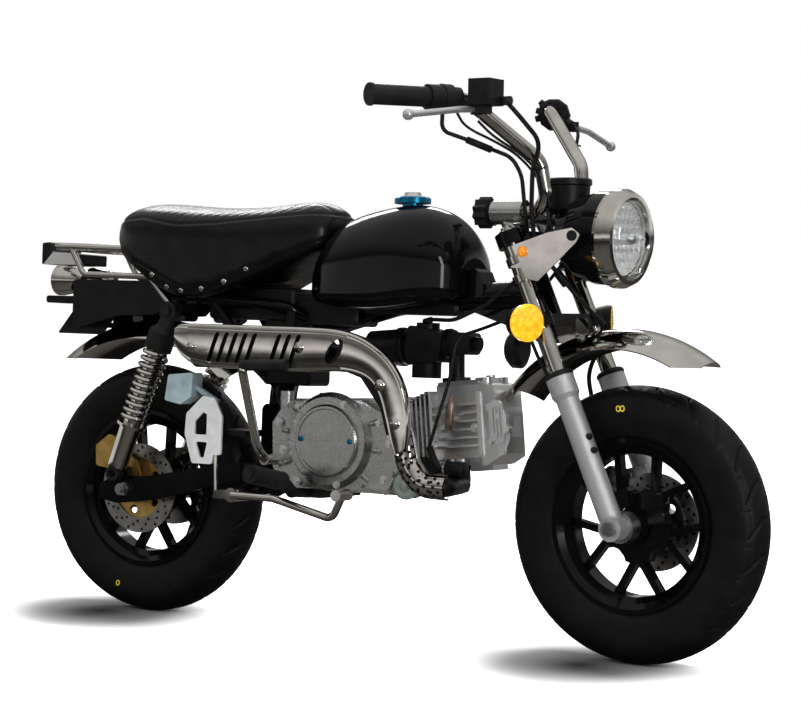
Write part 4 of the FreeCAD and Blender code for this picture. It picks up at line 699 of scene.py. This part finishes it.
def studs(name, places, look, body, radius=4.0, height=3.0, sides=6, washer=0.0, dome=0.0):
    # One mesh of like heads at (point, way) places; sizes in millimetres.
    mesh = bpy.data.meshes.new(name)
    mesh.from_pydata([tuple(p) for p, _ in places], [], [])
    ways = mesh.attributes.new("way", "FLOAT_VECTOR", "POINT")
    ways.data.foreach_set("vector", [c for _, w in places for c in w])
    piece = linked(name, mesh)
    spread = piece.modifiers.new("studs", "NODES")
    spread.node_group = studTree
    values = {"Radius": radius / 1000, "Height": height / 1000, "Sides": sides,
              "Washer": washer / 1000, "Dome": dome / 1000, "Finish": looks[look]}
    for item in studTree.interface.items_tree:
        if item.name in values:
            spread[item.identifier] = values[item.name]
    made = withModifiersApplied(piece)
    if not made.materials:
        made.materials.append(looks[look])
    shadeFaces(made, dome > 0 or sides > 8)
    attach(piece, body)


# Rivets along the seat's lower edge, found on its cover

rivetSettings = dict(places=((59, 582), (89, 562), (119, 556), (160, 560), (203, 573), (243, 594)),
                     head=dict(radius=4.0, height=0.6, sides=16, dome=5.2))


def makeRivets():
    places = []
    for hand in (-1, 1):
        for x, z in rivetSettings["places"]:
            place, normal = surfacePoint(seatPiece, bike(x, hand * 190, z), bikeWay(0, -hand, 0))
            if place:
                places.append((place, normal))
    studs("seat_rivets", places, "chrome", "chassis", **rivetSettings["head"])


makeRivets()
print("stage: rivets")


# Headlight: faceted reflector, bulb and clear cover in place of the solid lens

lampSettings = dict(
    x=870.0, z=654.5, droop=-0.03, rows=26, columns=72,
    hole=2.0, rim=57.0, bowlDepth=10.0, bowlFoot=2.0,
    facets=((12.0, 4.0), (15.0, 3.0)),  # pitch and depth across and up
    glassSteps=64, bulbSteps=24,
    # profiles of (distance along, radius): the glass outside and back along its inside, and the bulb
    glass=((20.5, 61.4), (27, 61.4), (37.6, 52), (46.6, 34), (49.6, 14), (50.2, 0.3),
           (48.4, 0.3), (47.8, 14), (44.8, 33), (36, 50.6), (26, 59.6), (20.5, 59.6)),
    bulb=((3, 9), (16, 9.5), (24, 9.5), (30, 6.5), (32, 0.3)))


def makeHeadlight():
    s = lampSettings
    base, way = steered(s["x"], 0, s["z"]), steeredWay(1, 0, s["droop"])
    side, up, axis = basisAround(way)
    points = []
    for i in range(s["rows"]):
        radius = s["hole"] + (s["rim"] - s["hole"]) * i / (s["rows"] - 1)
        for j in range(s["columns"]):
            a = 2 * math.pi * j / s["columns"]
            across, rise = radius * math.cos(a), radius * math.sin(a)
            along = s["bowlFoot"] + s["bowlDepth"] * (radius / s["rim"]) ** 2
            for place, (pitch, depth) in zip((across, rise), s["facets"]):
                along += depth * abs(((place / pitch) % 1) - 0.5)
            points.append(base + (axis * along + side * across + up * rise) / 1000)
    faces = [face[::-1] for face in gridFaces(s["rows"], s["columns"], closeColumns=True)]
    newPiece("lamp_reflector", points, faces, "mirror", "steering", smooth=False)
    glass = newPiece("lamp_glass", *turned(s["glass"], base, way, s["glassSteps"]), "clear_glass",
                     "steering", slot="clear_lens")
    newPiece("lamp_bulb", *turned(s["bulb"], base, way, s["bulbSteps"]), "bright_alloy", "steering")
    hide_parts("headlight_lens")


makeHeadlight()
print("stage: headlight")


# Heat shield: crowned chrome skin with rolled edges, and slots and an oval cut through it

shieldSettings = dict(
    # outer x, z and inner x, z of each station from the tail to the bend's foot
    stations=((149, 494, 149, 466), (156, 500, 160, 450), (190, 501, 190, 431), (300, 500.5, 300, 430),
              (414, 500.5, 414, 430), (470, 498, 462, 434), (515, 485, 504, 431),
              (556, 458, 530, 420), (582, 426, 546, 396), (595, 388, 557, 362),
              (598, 350, 566, 332), (594, 318, 577, 306)),
    # share of the way across, and how far it stands back from the crown
    section=((0.0, 9.0), (0.0, 4.0), (0.015, 2.2), (0.05, 1.0), (0.12, 1.3), (0.16, 1.0), (0.3, 0.35),
             (0.5, 0.0), (0.7, 0.35), (0.84, 1.0), (0.88, 1.3), (0.95, 1.0), (0.985, 2.2), (1.0, 4.0),
             (1.0, 9.0)),
    crownY=-168.4, standBack=1.3, wall=0.0016, sharpFrom=40, cutY=(-190, -140),
    slots=(227, 245.5, 264, 282.5, 301, 348, 366.5, 385), slotZ=464, slotWidth=8.6, slotReach=20.5,
    slotSlant=0.36, slotSteps=24, ovalSteps=32,
    # the oval's middle, its half length and half width, and the way that it lies
    oval=dict(x=460, z=464, length=23, width=12, way=(0.57, 0.82)),
    bolts=((184, 463), (394, 468), (546, 414), (576, 355)), boltStand=0.6,
    bolt=dict(radius=4.6, height=7.0, sides=24, washer=9.0, dome=6.0))


def slotRing(x):
    # Outline of one slanted slot with round ends.
    s = shieldSettings
    ring = []
    for i in range(s["slotSteps"]):
        a = 2 * math.pi * i / s["slotSteps"]
        along = math.copysign(s["slotReach"], math.sin(a)) + math.sin(a) * s["slotWidth"] / 2
        ring.append((x + math.cos(a) * s["slotWidth"] / 2 + along * s["slotSlant"], s["slotZ"] + along))
    return ring


def ovalRing(steps):
    s = shieldSettings["oval"]
    across, rise = s["way"]
    ring = []
    for a in np.linspace(0, 2 * math.pi, steps, endpoint=False):
        along, beside = s["length"] * math.cos(a), s["width"] * math.sin(a)
        ring.append((s["x"] + along * across - beside * rise, s["z"] + along * rise + beside * across))
    return ring


def makeShieldSkin():
    s = shieldSettings
    stations = softened(s["stations"])
    points = []
    for outerX, outerZ, innerX, innerZ in stations:
        for share, back in s["section"]:
            points.append(bike(outerX + (innerX - outerX) * share, s["crownY"] + back * s["standBack"],
                               outerZ + (innerZ - outerZ) * share))
    skin = newPiece("shield_skin", points, gridFaces(len(stations), len(s["section"])), "chrome", "chassis")
    rings = [slotRing(x) for x in s["slots"]] + [ovalRing(s["ovalSteps"])]
    cuts = [prism([[bike(x, y, z) for x, z in ring] for y in s["cutY"]]) for ring in rings]
    points, faces = joined(cuts)
    cutMesh = bpy.data.meshes.new("slotCutters")
    cutMesh.from_pydata([tuple(p) for p in points], [], faces)
    turnFacesOut(cutMesh)
    cutter = linked("slotCutters", cutMesh)
    thick = skin.modifiers.new("thick", "SOLIDIFY")
    thick.thickness = s["wall"]
    thick.offset = 0
    cut = skin.modifiers.new("cut", "BOOLEAN")
    cut.object = cutter
    cut.solver = "EXACT"
    mesh = withModifiersApplied(skin)
    bpy.data.objects.remove(cutter)
    turnFacesOut(mesh)
    shadeFaces(mesh)
    for edge in mesh.edges:
        edge.use_edge_sharp = False
    mesh.set_sharp_from_angle(angle=math.radians(s["sharpFrom"]))
    places = [(bike(x, s["crownY"] - s["boltStand"], z), bikeWay(0, -1, 0)) for x, z in s["bolts"]]
    studs("shield_bolts", places, "chrome", "chassis", **s["bolt"])


# Perforations of the guard that wraps the header under the shield, as black discs whose darkness is painted
# shade for the holes

guardSettings = dict(
    path=((568, -129, 341), (575, -128.6, 312), (583, -128.2, 287), (593, -128, 271), (607, -128, 262),
          (626, -128, 260), (648, -128, 259)),
    step=8.6, reach=20.1, turns=((-40, 0, 40), (-60, -20, 20, 60)),  # degrees round it, row by row
    hole=dict(radius=2.9, height=0.4, sides=14))


def makeGuardHoles():
    s = guardSettings
    path = [Vector(p) for p in s["path"]]
    outward = Vector((0, -1, 0))
    places, run, row = [], 0.0, 0
    for a, b in zip(path, path[1:]):
        ahead = (b - a).normalized()
        beside = ahead.cross(outward).normalized()
        while run < (b - a).length:
            for degrees in s["turns"][row % 2]:
                turn = math.radians(degrees)
                out = outward * math.cos(turn) + beside * math.sin(turn)
                places.append((bike(*(a + ahead * run + out * s["reach"])), bikeWay(*out)))
            run += s["step"]
            row += 1
        run -= (b - a).length
    studs("guard_holes", places, "satin_black", "chassis", **s["hole"])


makeShieldSkin()
makeGuardHoles()
print("stage: heat shield")


# Engine details on the right side

engineSettings = dict(
    lookFrom=-230, reach=0.4,
    # name, node, finish, places in the side view, and the head
    heads=(("cap_screws", "clutch_cover", "blue_anodised", ((364, 320), (456, 320)),
            dict(radius=4.2, height=3.0, sides=20, dome=2.5)),
           ("cover_bolts", "clutch_cover", "bright_alloy",
            ((318, 300), (312, 345), (345, 372), (440, 378), (500, 352), (520, 320), (512, 262),
             (430, 250), (350, 250)), dict(radius=5.0, height=9.0, sides=6, washer=7.0)),
           ("case_bolts", "crankcase", "bright_alloy", ((500, 243), (590, 246)),
            dict(radius=5.5, height=12.0, sides=6, washer=8.0)),
           ("head_bolts", "cylinder_head", "bright_alloy",
            ((648, 300), (654, 352), (684, 330), (700, 372), (706, 318)),
            dict(radius=5.0, height=9.0, sides=6, washer=7.0))),
    # name, finish, start, way, steps round, and the profile of (distance along, radius)
    turnings=(("filter_cup", "green_alloy", (560, -99, 255.5), (0, -1, 0), 40,
               ((-2, 22), (3, 22), (5, 21), (5.5, 15), (4.5, 13), (4.5, 8), (7, 7.4), (7, 0.2))),
              ("copper_adjuster", "copper", (579, -64, 312), (24, 0, -40), 20,
               ((0, 0.2), (0, 5.5), (12, 6.2), (13, 7.4), (30, 7.4), (31, 6), (46, 5), (46, 0.2))),
              ("plug_boot", "boot_tan", (620, -68, 400), (-4, 0, -54), 24,
               ((0, 0.2), (0, 4), (10, 5), (14, 7), (40, 7.5), (54, 6), (54, 0.2))),
              ("low_block", "satin_black", (618, -72, 284), (1, 0, 0), 28,
               ((0, 0.2), (0, 12), (3, 14), (30, 14), (33, 12), (33, 0.2)))))


def makeEngineDetails():
    s = engineSettings
    for name, node, look, spots, head in s["heads"]:
        places = []
        for x, z in spots:
            place, _ = surfacePoint(nodes[node], bike(x, s["lookFrom"], z), bikeWay(0, 1, 0), s["reach"])
            if place:
                places.append((place, bikeWay(0, -1, 0)))
        studs(name, places, look, "chassis", **head)
    for name, look, start, way, steps, profile in s["turnings"]:
        newPiece(name, *turned(profile, bike(*start), bikeWay(*way), steps), look, "chassis")


# Dark box and wiring trays under the seat and tank that fill the frame's middle

airBoxSettings = dict(
    # x from and to, z from and to, and half the width
    blocks=((128, 300, 512, 566, 44), (300, 420, 506, 548, 36), (236, 330, 404, 520, 34),
            (420, 600, 528, 548, 24)),
    corner=8.0, chamfer=4, chamferShare=0.94)


def roundedRing(x0, x1, z0, z1, radius, steps=5):
    # Outline of a block with round corners in the side view.
    ring = []
    for quarter, (x, z) in enumerate(((x1 - radius, z1 - radius), (x0 + radius, z1 - radius),
                                      (x0 + radius, z0 + radius), (x1 - radius, z0 + radius))):
        for i in range(steps):
            a = math.pi / 2 * (quarter + i / (steps - 1))
            ring.append((x + radius * math.cos(a), z + radius * math.sin(a)))
    return ring


def makeAirBox():
    s = airBoxSettings
    parts = []
    for x0, x1, z0, z1, half in s["blocks"]:
        middleX, middleZ = (x0 + x1) / 2, (z0 + z1) / 2
        ring = roundedRing(x0, x1, z0, z1, s["corner"])
        flat = half - s["chamfer"]
        levels = ((-half, s["chamferShare"]), (-flat, 1.0), (flat, 1.0), (half, s["chamferShare"]))
        parts.append(prism([[bike(middleX + (x - middleX) * share, y, middleZ + (z - middleZ) * share)
                             for x, z in ring] for y, share in levels]))
    newPiece("air_box", *joined(parts), "satin_black", "chassis", smooth=False)


# Ties and loose wires on the bars, and the small lamps and bolts of the headlight's stays

barTrimSettings = dict(
    ties=(("right", (765, -80, 756), (786, -80, 761)), ("left", (726, 120, 810), (736, 118, 808))),
    tieRadius=1.6,
    wires=(((668, -150, 842), (683, -150, 820), (714, -110, 800), (740, -80, 779), (768, -60, 740),
            (778, -56, 690), (790, -50, 640)),
           ((706, -150, 829), (722, -130, 806), (748, -90, 782), (774, -70, 750), (786, -62, 700))),
    wireRadius=2.2, wireBend=((770, -62, 735), (700, -140, 828)),
    lampAt=(758, 93, 631), lampWay=(0.35, 1, 0),
    lamp=((-3, 0.2), (-3, 9), (2, 9.5), (6, 8), (10, 4), (11, 0.2)),
    boltAt=(842, 90, 656), bolt=dict(radius=5.5, height=8, sides=6, washer=8.5))


def makeBarTrim():
    s = barTrimSettings
    for side, start, end in s["ties"]:
        tie = tube([steered(*start), steered(*end)], s["tieRadius"], 6, 0)
        newPiece("cable_tie_" + side, *tie, "rubber", "handlebar_" + side)
    wires = [tube([steered(*p) for p in way], s["wireRadius"], 8, 3) for way in s["wires"]]
    piece = newPiece("wires", *joined(wires), "rubber", None)
    start, end = (tuple(steered(*p)) for p in s["wireBend"])
    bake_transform(piece)
    for side, hand in (("right", -1), ("left", 1)):
        x, y, z = s["lampAt"]
        lamp = turned(s["lamp"], steered(x, hand * y, z), steeredWay(s["lampWay"][0], hand, 0), 20)
        newPiece("stay_lamp_" + side, *lamp, "amber_small", "steering")
        x, y, z = s["boltAt"]
        studs("stay_bolt_" + side, [(steered(x, hand * y, z), steeredWay(0, hand, 0))], "chrome",
              "steering", **s["bolt"])


# Bulky switch block at the inner end of the left grip, with its buttons

switchSettings = dict(
    endShare=6,  # the sixth of the grip's points at each end tells where its axis runs
    block=((-6, 12), (-6, 22), (-3, 26), (16, 27), (22, 26), (34, 26), (40, 22), (40, 12)),
    facing=(-0.85, 0, 0.2), reach=0.027,
    # distance along and turn of each button
    buttons=((4, -0.5), (4, 0.5), (18, 0.0), (30, -0.45), (30, 0.45)),
    button=dict(radius=5.0, height=9.0, sides=16))


def makeSwitchGear():
    s = switchSettings
    upright = leanTurn.inverted()
    points = sorted((v.co.copy() for v in nodes["grip_left"].data.vertices),
                    key=lambda p: (upright @ (p - bikeOrigin)).y)
    count = len(points) // s["endShare"]
    inner, outer = sum(points[:count], Vector()) / count, sum(points[-count:], Vector()) / count
    way = (outer - inner).normalized()
    newPiece("switch_block", *turned(s["block"], inner, way, 10), "satin_black", "handlebar_left",
             smooth=False)
    facing = steeredWay(*s["facing"])
    rise = (facing - way * facing.dot(way)).normalized()
    across = way.cross(rise)
    spots = []
    for along, turn in s["buttons"]:
        out = (rise * math.cos(turn) + across * math.sin(turn)).normalized()
        spots.append((inner + way * along / 1000 + out * s["reach"], out))
    studs("switch_buttons", spots, "rubber", "handlebar_left", **s["button"])


makeEngineDetails()
makeSwitchGear()
makeAirBox()
makeBarTrim()
print("stage: engine, wiring and small lamps")


# Copies of the cables at the steering and the folding bars, two of them cut in two at a height

cableSettings = dict(
    doubles=0.00001,
    # node, height in the frame where it is cut in two, or None, and for each length its name, the
    # two bodies that it bends between, and where the bend starts and ends
    cables=(("throttle_cable", 0.662,
             (("throttle_cable_low", "chassis", "steering", bike(600, -42, 524), steered(722, -50, 588)),
              ("throttle_cable_high", "steering", "handlebar_right", steered(746, -76, 695),
               steered(700, -170, 835)))),
            ("clutch_cable", 0.662,
             (("clutch_cable_low", "chassis", "steering", bike(636, -8, 508), steered(722, 50, 588)),
              ("clutch_cable_high", "steering", "handlebar_left", steered(746, 76, 695),
               steered(716, 150, 830)))),
            ("brake_hose", None,
             (("brake_hose_bend", "steering", "handlebar_right", steered(768, -88, 758),
               steered(770, -148, 842)),))))


def cableLength(node, cut, keepBelow):
    # Merged copy of a cable's mesh, or of what lies below or above its cut.
    mesh = nodes[node].data.copy()
    bm = bmesh.new()
    bm.from_mesh(mesh)
    bmesh.ops.remove_doubles(bm, verts=bm.verts, dist=cableSettings["doubles"])
    if cut:
        bmesh.ops.bisect_plane(bm, geom=bm.verts[:] + bm.edges[:] + bm.faces[:], plane_co=(0, 0, cut),
                               plane_no=(0, 0, 1), clear_outer=keepBelow, clear_inner=not keepBelow)
        bmesh.ops.holes_fill(bm, edges=[edge for edge in bm.edges if edge.is_boundary])
    bm.to_mesh(mesh)
    bm.free()
    shadeFaces(mesh)
    return mesh


def makeBendingCables():
    for node, cut, lengths in cableSettings["cables"]:
        for place, (name, fixed, moving, start, end) in enumerate(lengths):
            piece = linked(name, cableLength(node, cut, place == 0))
            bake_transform(piece)
            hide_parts(node)


makeBendingCables()
print("stage: cables")


# Dust seals on the silver legs, and two small bosses on the right one

forkSettings = dict(
    sealAlong=245, seal=((0, 22.6), (3, 23.2), (6, 22.4), (9, 18.5), (10, 14), (0, 14), (0, 22.6)),
    bossAlong=(150, 128), bossAhead=16, bossBeside=6, bossWay=(0.85, -0.5, 0.1),
    boss=dict(radius=5, height=12, sides=18))


def makeForkTrim():
    s = forkSettings
    parts = []
    for hand in (-1, 1):
        foot = Vector((wheelBase, hand * forkHalfSpan, tyreRadius)) + steerAxis * s["sealAlong"]
        parts.append(turned(s["seal"], steered(*foot), steeredWay(*steerAxis), 40))
    newPiece("fork_seals", *joined(parts), "rubber", "steering")
    places = []
    for along in s["bossAlong"]:
        boss = Vector((wheelBase + s["bossAhead"], -forkHalfSpan - s["bossBeside"], tyreRadius))
        places.append((steered(*(boss + steerAxis * along)), steeredWay(*s["bossWay"])))
    studs("leg_bosses", places, "rubber", "steering", **s["boss"])


# Axle nuts, black discs for the brake discs' drillings, whose darkness is painted shade, and the small
# painted rings on the right sidewalls

wheelSettings = dict(
    nut=dict(radius=7, height=8, sides=6, washer=10), rearNutY=-106, frontNutY=-101,
    # radius, count and start in degrees of each ring of drillings, and how far out the disc lies
    rings=((57, 15, 0), (64, 15, 8), (71, 15, 16)), discOut=50,
    drilling=dict(radius=2.6, height=3.8, sides=12),
    loopHalf=(4.2, 3.2), loopCord=1.1, loopInside=1.2,
    # name, body, angle round the wheel in degrees, radius, and each ring's shift along it
    marks=(("front_paint_mark", "front_wheel", 95, 180, (-3, 4)),
           ("rear_paint_mark", "rear_wheel", 255, 175, (0,))))


def makeAxleNuts():
    s = wheelSettings
    studs("rear_axle_nut", [(bike(0, s["rearNutY"], tyreRadius), bikeWay(0, -1, 0))], "steel", "chassis",
          **s["nut"])
    studs("front_axle_nut", [(steered(wheelBase, s["frontNutY"], tyreRadius), steeredWay(0, -1, 0))],
          "steel", "steering", **s["nut"])


# The drillings are black discs on the disc's face: their darkness is painted shade that stands for the
# holes.
def makeDiscHoles(name, body, centre, way, discOut):
    s = wheelSettings
    up, side, axis = basisAround(way)
    places = []
    for radius, count, shift in s["rings"]:
        for i in range(count):
            a = math.radians(shift) + 2 * math.pi * i / count
            out = side * math.cos(a) + up * math.sin(a)
            places.append((centre + axis * discOut / 1000 + out * radius / 1000, axis))
    studs(name, places, "satin_black", body, **s["drilling"])


def makePaintMark(name, body, angle, radius, shifts, centre, way):
    s = wheelSettings
    up = (Vector((0, 0, 1)) - way * way.z).normalized()
    ahead = way.cross(up)
    a = math.radians(angle)
    out, along = ahead * math.cos(a) + up * math.sin(a), up * math.cos(a) - ahead * math.sin(a)
    wall = centre - way * (tyreHalfWidth - s["loopInside"]) / 1000 + out * (radius / 1000)
    tall, wide = s["loopHalf"]
    parts = []
    for shift in shifts:
        ring = [wall + along * shift / 1000 + (out * tall * math.cos(k) + along * wide * math.sin(k)) / 1000
                for k in np.linspace(0, 2 * math.pi, 20)]
        parts.append(tube(ring, s["loopCord"], 6, 1))
    newPiece(name, *joined(parts), "yellow_paint", body)


makeForkTrim()
makeAxleNuts()
makeDiscHoles("rear_disc_holes", "rear_wheel", rearHub, -rearWay, wheelSettings["discOut"])
makeDiscHoles("front_disc_holes", "front_wheel", frontHub, -frontWay, -wheelSettings["discOut"])
for mark, (hub, way) in zip(wheelSettings["marks"], ((frontHub, frontWay), (rearHub, rearWay))):
    makePaintMark(*mark, hub, way)
print("stage: fork seals, nuts and marks")


# Camera

cameraSettings = dict(at=(1.835012, -3.106187, 0.69468), yaw=120.206, pitch=-3.663, lens=98.22,
                      sensor=36.0, clipEnd=50)


def makeCamera():
    s = cameraSettings
    data = bpy.data.cameras.new("camera")
    data.sensor_width = s["sensor"]
    data.lens = s["lens"]
    data.clip_end = s["clipEnd"]
    camera = linked("camera", data)
    yaw, pitch = math.radians(s["yaw"]), math.radians(s["pitch"])
    ahead = Vector((math.cos(yaw) * math.cos(pitch), math.sin(yaw) * math.cos(pitch), math.sin(pitch)))
    camera.location = s["at"]
    camera.rotation_mode = "QUATERNION"
    camera.rotation_quaternion = ahead.to_track_quat("-Z", "Y")
    bpy.context.scene.camera = camera


# Lamps: name, place, what it points at, length and width, watts, and whether bright parts mirror it

lightSettings = (
    ("key_overhead", (0.35, 0.35, 3.0), (0.0, -0.1, 0.0), (0.9, 0.9), 120, False),
    ("side_fill", (0.2, -2.9, 1.7), (0.05, 0, 0.45), (2.0, 0.35), 26, False),
    ("camera_strip", (2.4, -1.6, 1.2), (0.2, 0, 0.45), (0.35, 1.3), 16, True),
    ("back_strip", (-1.2, 1.8, 1.8), (0, 0, 0.5), (1.6, 0.5), 18, True))


def makeLights():
    for name, at, target, size, power, mirrored in lightSettings:
        data = bpy.data.lights.new(name, "AREA")
        data.shape = "RECTANGLE"
        data.size, data.size_y = size
        data.energy = power
        lamp = linked(name, data)
        lamp.location = at
        lamp.rotation_mode = "QUATERNION"
        lamp.rotation_quaternion = (Vector(target) - Vector(at)).to_track_quat("-Z", "Y")
        lamp.visible_glossy = mirrored


# Pale floor that shows as plain white, with a painted soft shadow under each wheel, where the white glow
# fades

floorSettings = dict(
    half=9.0, shadowPatchShift=(-0.07, -0.05),
    # distance from a patch's middle and what it is mapped to: the white glow, and the floor's colour,
    # darkened towards each wheel as a painted shadow
    glow=(("From Min", 0.10), ("From Max", 0.26), ("To Min", 0.0), ("To Max", 1.2)),
    paintedShadow=(("From Min", -0.04), ("From Max", 0.22), ("To Min", 0.02), ("To Max", 0.92)),
    mirrored=(0.07, 0.065, 0.06, 1))


def smoothStep(tree, value, limits):
    # A map range with soft ends, fed by a value.
    node = tree.nodes.new("ShaderNodeMapRange")
    node.interpolation_type = "SMOOTHSTEP"
    for key, limit in limits:
        node.inputs[key].default_value = limit
    tree.links.new(value, node.inputs["Value"])
    return node.outputs["Result"]


def makeFloor():
    s = floorSettings
    half = s["half"]
    mesh = bpy.data.meshes.new("floor")
    mesh.from_pydata([(-half, -half, 0), (half, -half, 0), (half, half, 0), (-half, half, 0)], [],
                     [(0, 1, 2, 3)])
    floor = linked("floor", mesh)
    material = bpy.data.materials.new("floor_white")
    material.use_nodes = True
    tree = material.node_tree
    put, join = tree.nodes.new, tree.links.new
    shader = tree.nodes["Principled BSDF"]
    shader.inputs["Roughness"].default_value = 1.0
    shader.inputs["Specular IOR Level"].default_value = 0.0
    shader.inputs["Emission Color"].default_value = (1, 1, 1, 1)
    seen, coords, nearest = put("ShaderNodeLightPath"), put("ShaderNodeTexCoord"), put("ShaderNodeMath")
    nearest.operation = "MINIMUM"
    for i, foot in enumerate((bike(0, 0, 0), steered(wheelBase, 0, 0))):
        away = put("ShaderNodeVectorMath")
        away.operation = "DISTANCE"
        away.inputs[1].default_value = (foot.x + s["shadowPatchShift"][0], foot.y + s["shadowPatchShift"][1], 0)
        join(coords.outputs["Object"], away.inputs[0])
        join(away.outputs["Value"], nearest.inputs[i])
    gate = put("ShaderNodeMath")
    gate.operation = "MULTIPLY"
    join(smoothStep(tree, nearest.outputs["Value"], s["glow"]), gate.inputs[0])
    join(seen.outputs["Is Camera Ray"], gate.inputs[1])
    join(gate.outputs["Value"], shader.inputs["Emission Strength"])
    # Painted shadow: the floor's colour darkens towards each wheel's foot, where the glow above is held
    # back
    grey, tint = put("ShaderNodeCombineColor"), put("ShaderNodeMix")
    paintedShadow = smoothStep(tree, nearest.outputs["Value"], s["paintedShadow"])
    for i in range(3):
        join(paintedShadow, grey.inputs[i])
    tint.data_type = "RGBA"
    tint.inputs[7].default_value = s["mirrored"]
    join(seen.outputs["Is Glossy Ray"], tint.inputs[0])
    join(grey.outputs["Color"], tint.inputs[6])
    join(tint.outputs[2], shader.inputs["Base Color"])
    mesh.materials.append(material)


# World: white to the camera, and a studio of bright and dark bands to the glossy parts

worldSettings = dict(
    # height of each band's edge, from 0 straight down to 1 straight up, and its brightness
    bands=((0.0, 0.06), (0.46, 0.18), (0.495, 0.02), (0.53, 0.85), (0.60, 0.10), (0.86, 0.6)),
    warmth=(1.0, 0.97, 0.93), softLight=(0.3, 0.3, 0.3, 1))


def makeWorld():
    s = worldSettings
    world = bpy.data.worlds.new("studio")
    bpy.context.scene.world = world
    world.use_nodes = True
    tree = world.node_tree
    back = tree.nodes["Background"]
    put, join = tree.nodes.new, tree.links.new
    coords, split, height = (put("ShaderNodeTexCoord"), put("ShaderNodeSeparateXYZ"),
                             put("ShaderNodeMapRange"))
    height.inputs["From Min"].default_value = -1
    ramp, seen = put("ShaderNodeValToRGB"), put("ShaderNodeLightPath")
    join(coords.outputs["Generated"], split.inputs[0])
    join(split.outputs["Z"], height.inputs["Value"])
    join(height.outputs["Result"], ramp.inputs["Fac"])
    for i, (at, level) in enumerate(s["bands"]):
        band = ramp.color_ramp.elements[i] if i < 2 else ramp.color_ramp.elements.new(at)
        band.position = at
        band.color = (*(level * part for part in s["warmth"]), 1)
    mirrored, shown = put("ShaderNodeMix"), put("ShaderNodeMix")
    for mix in (mirrored, shown):
        mix.data_type = "RGBA"
    mirrored.inputs[6].default_value = s["softLight"]
    shown.inputs[7].default_value = (1, 1, 1, 1)
    join(seen.outputs["Is Glossy Ray"], mirrored.inputs[0])
    join(ramp.outputs["Color"], mirrored.inputs[7])
    join(seen.outputs["Is Camera Ray"], shown.inputs[0])
    join(mirrored.outputs[2], shown.inputs[6])
    join(shown.outputs[2], back.inputs["Color"])
    back.inputs["Strength"].default_value = 1.0


bpy.context.scene.view_settings.view_transform = "Standard"
makeCamera()
makeFloor()
makeWorld()
makeLights()
print("stage: camera, floor and lights")
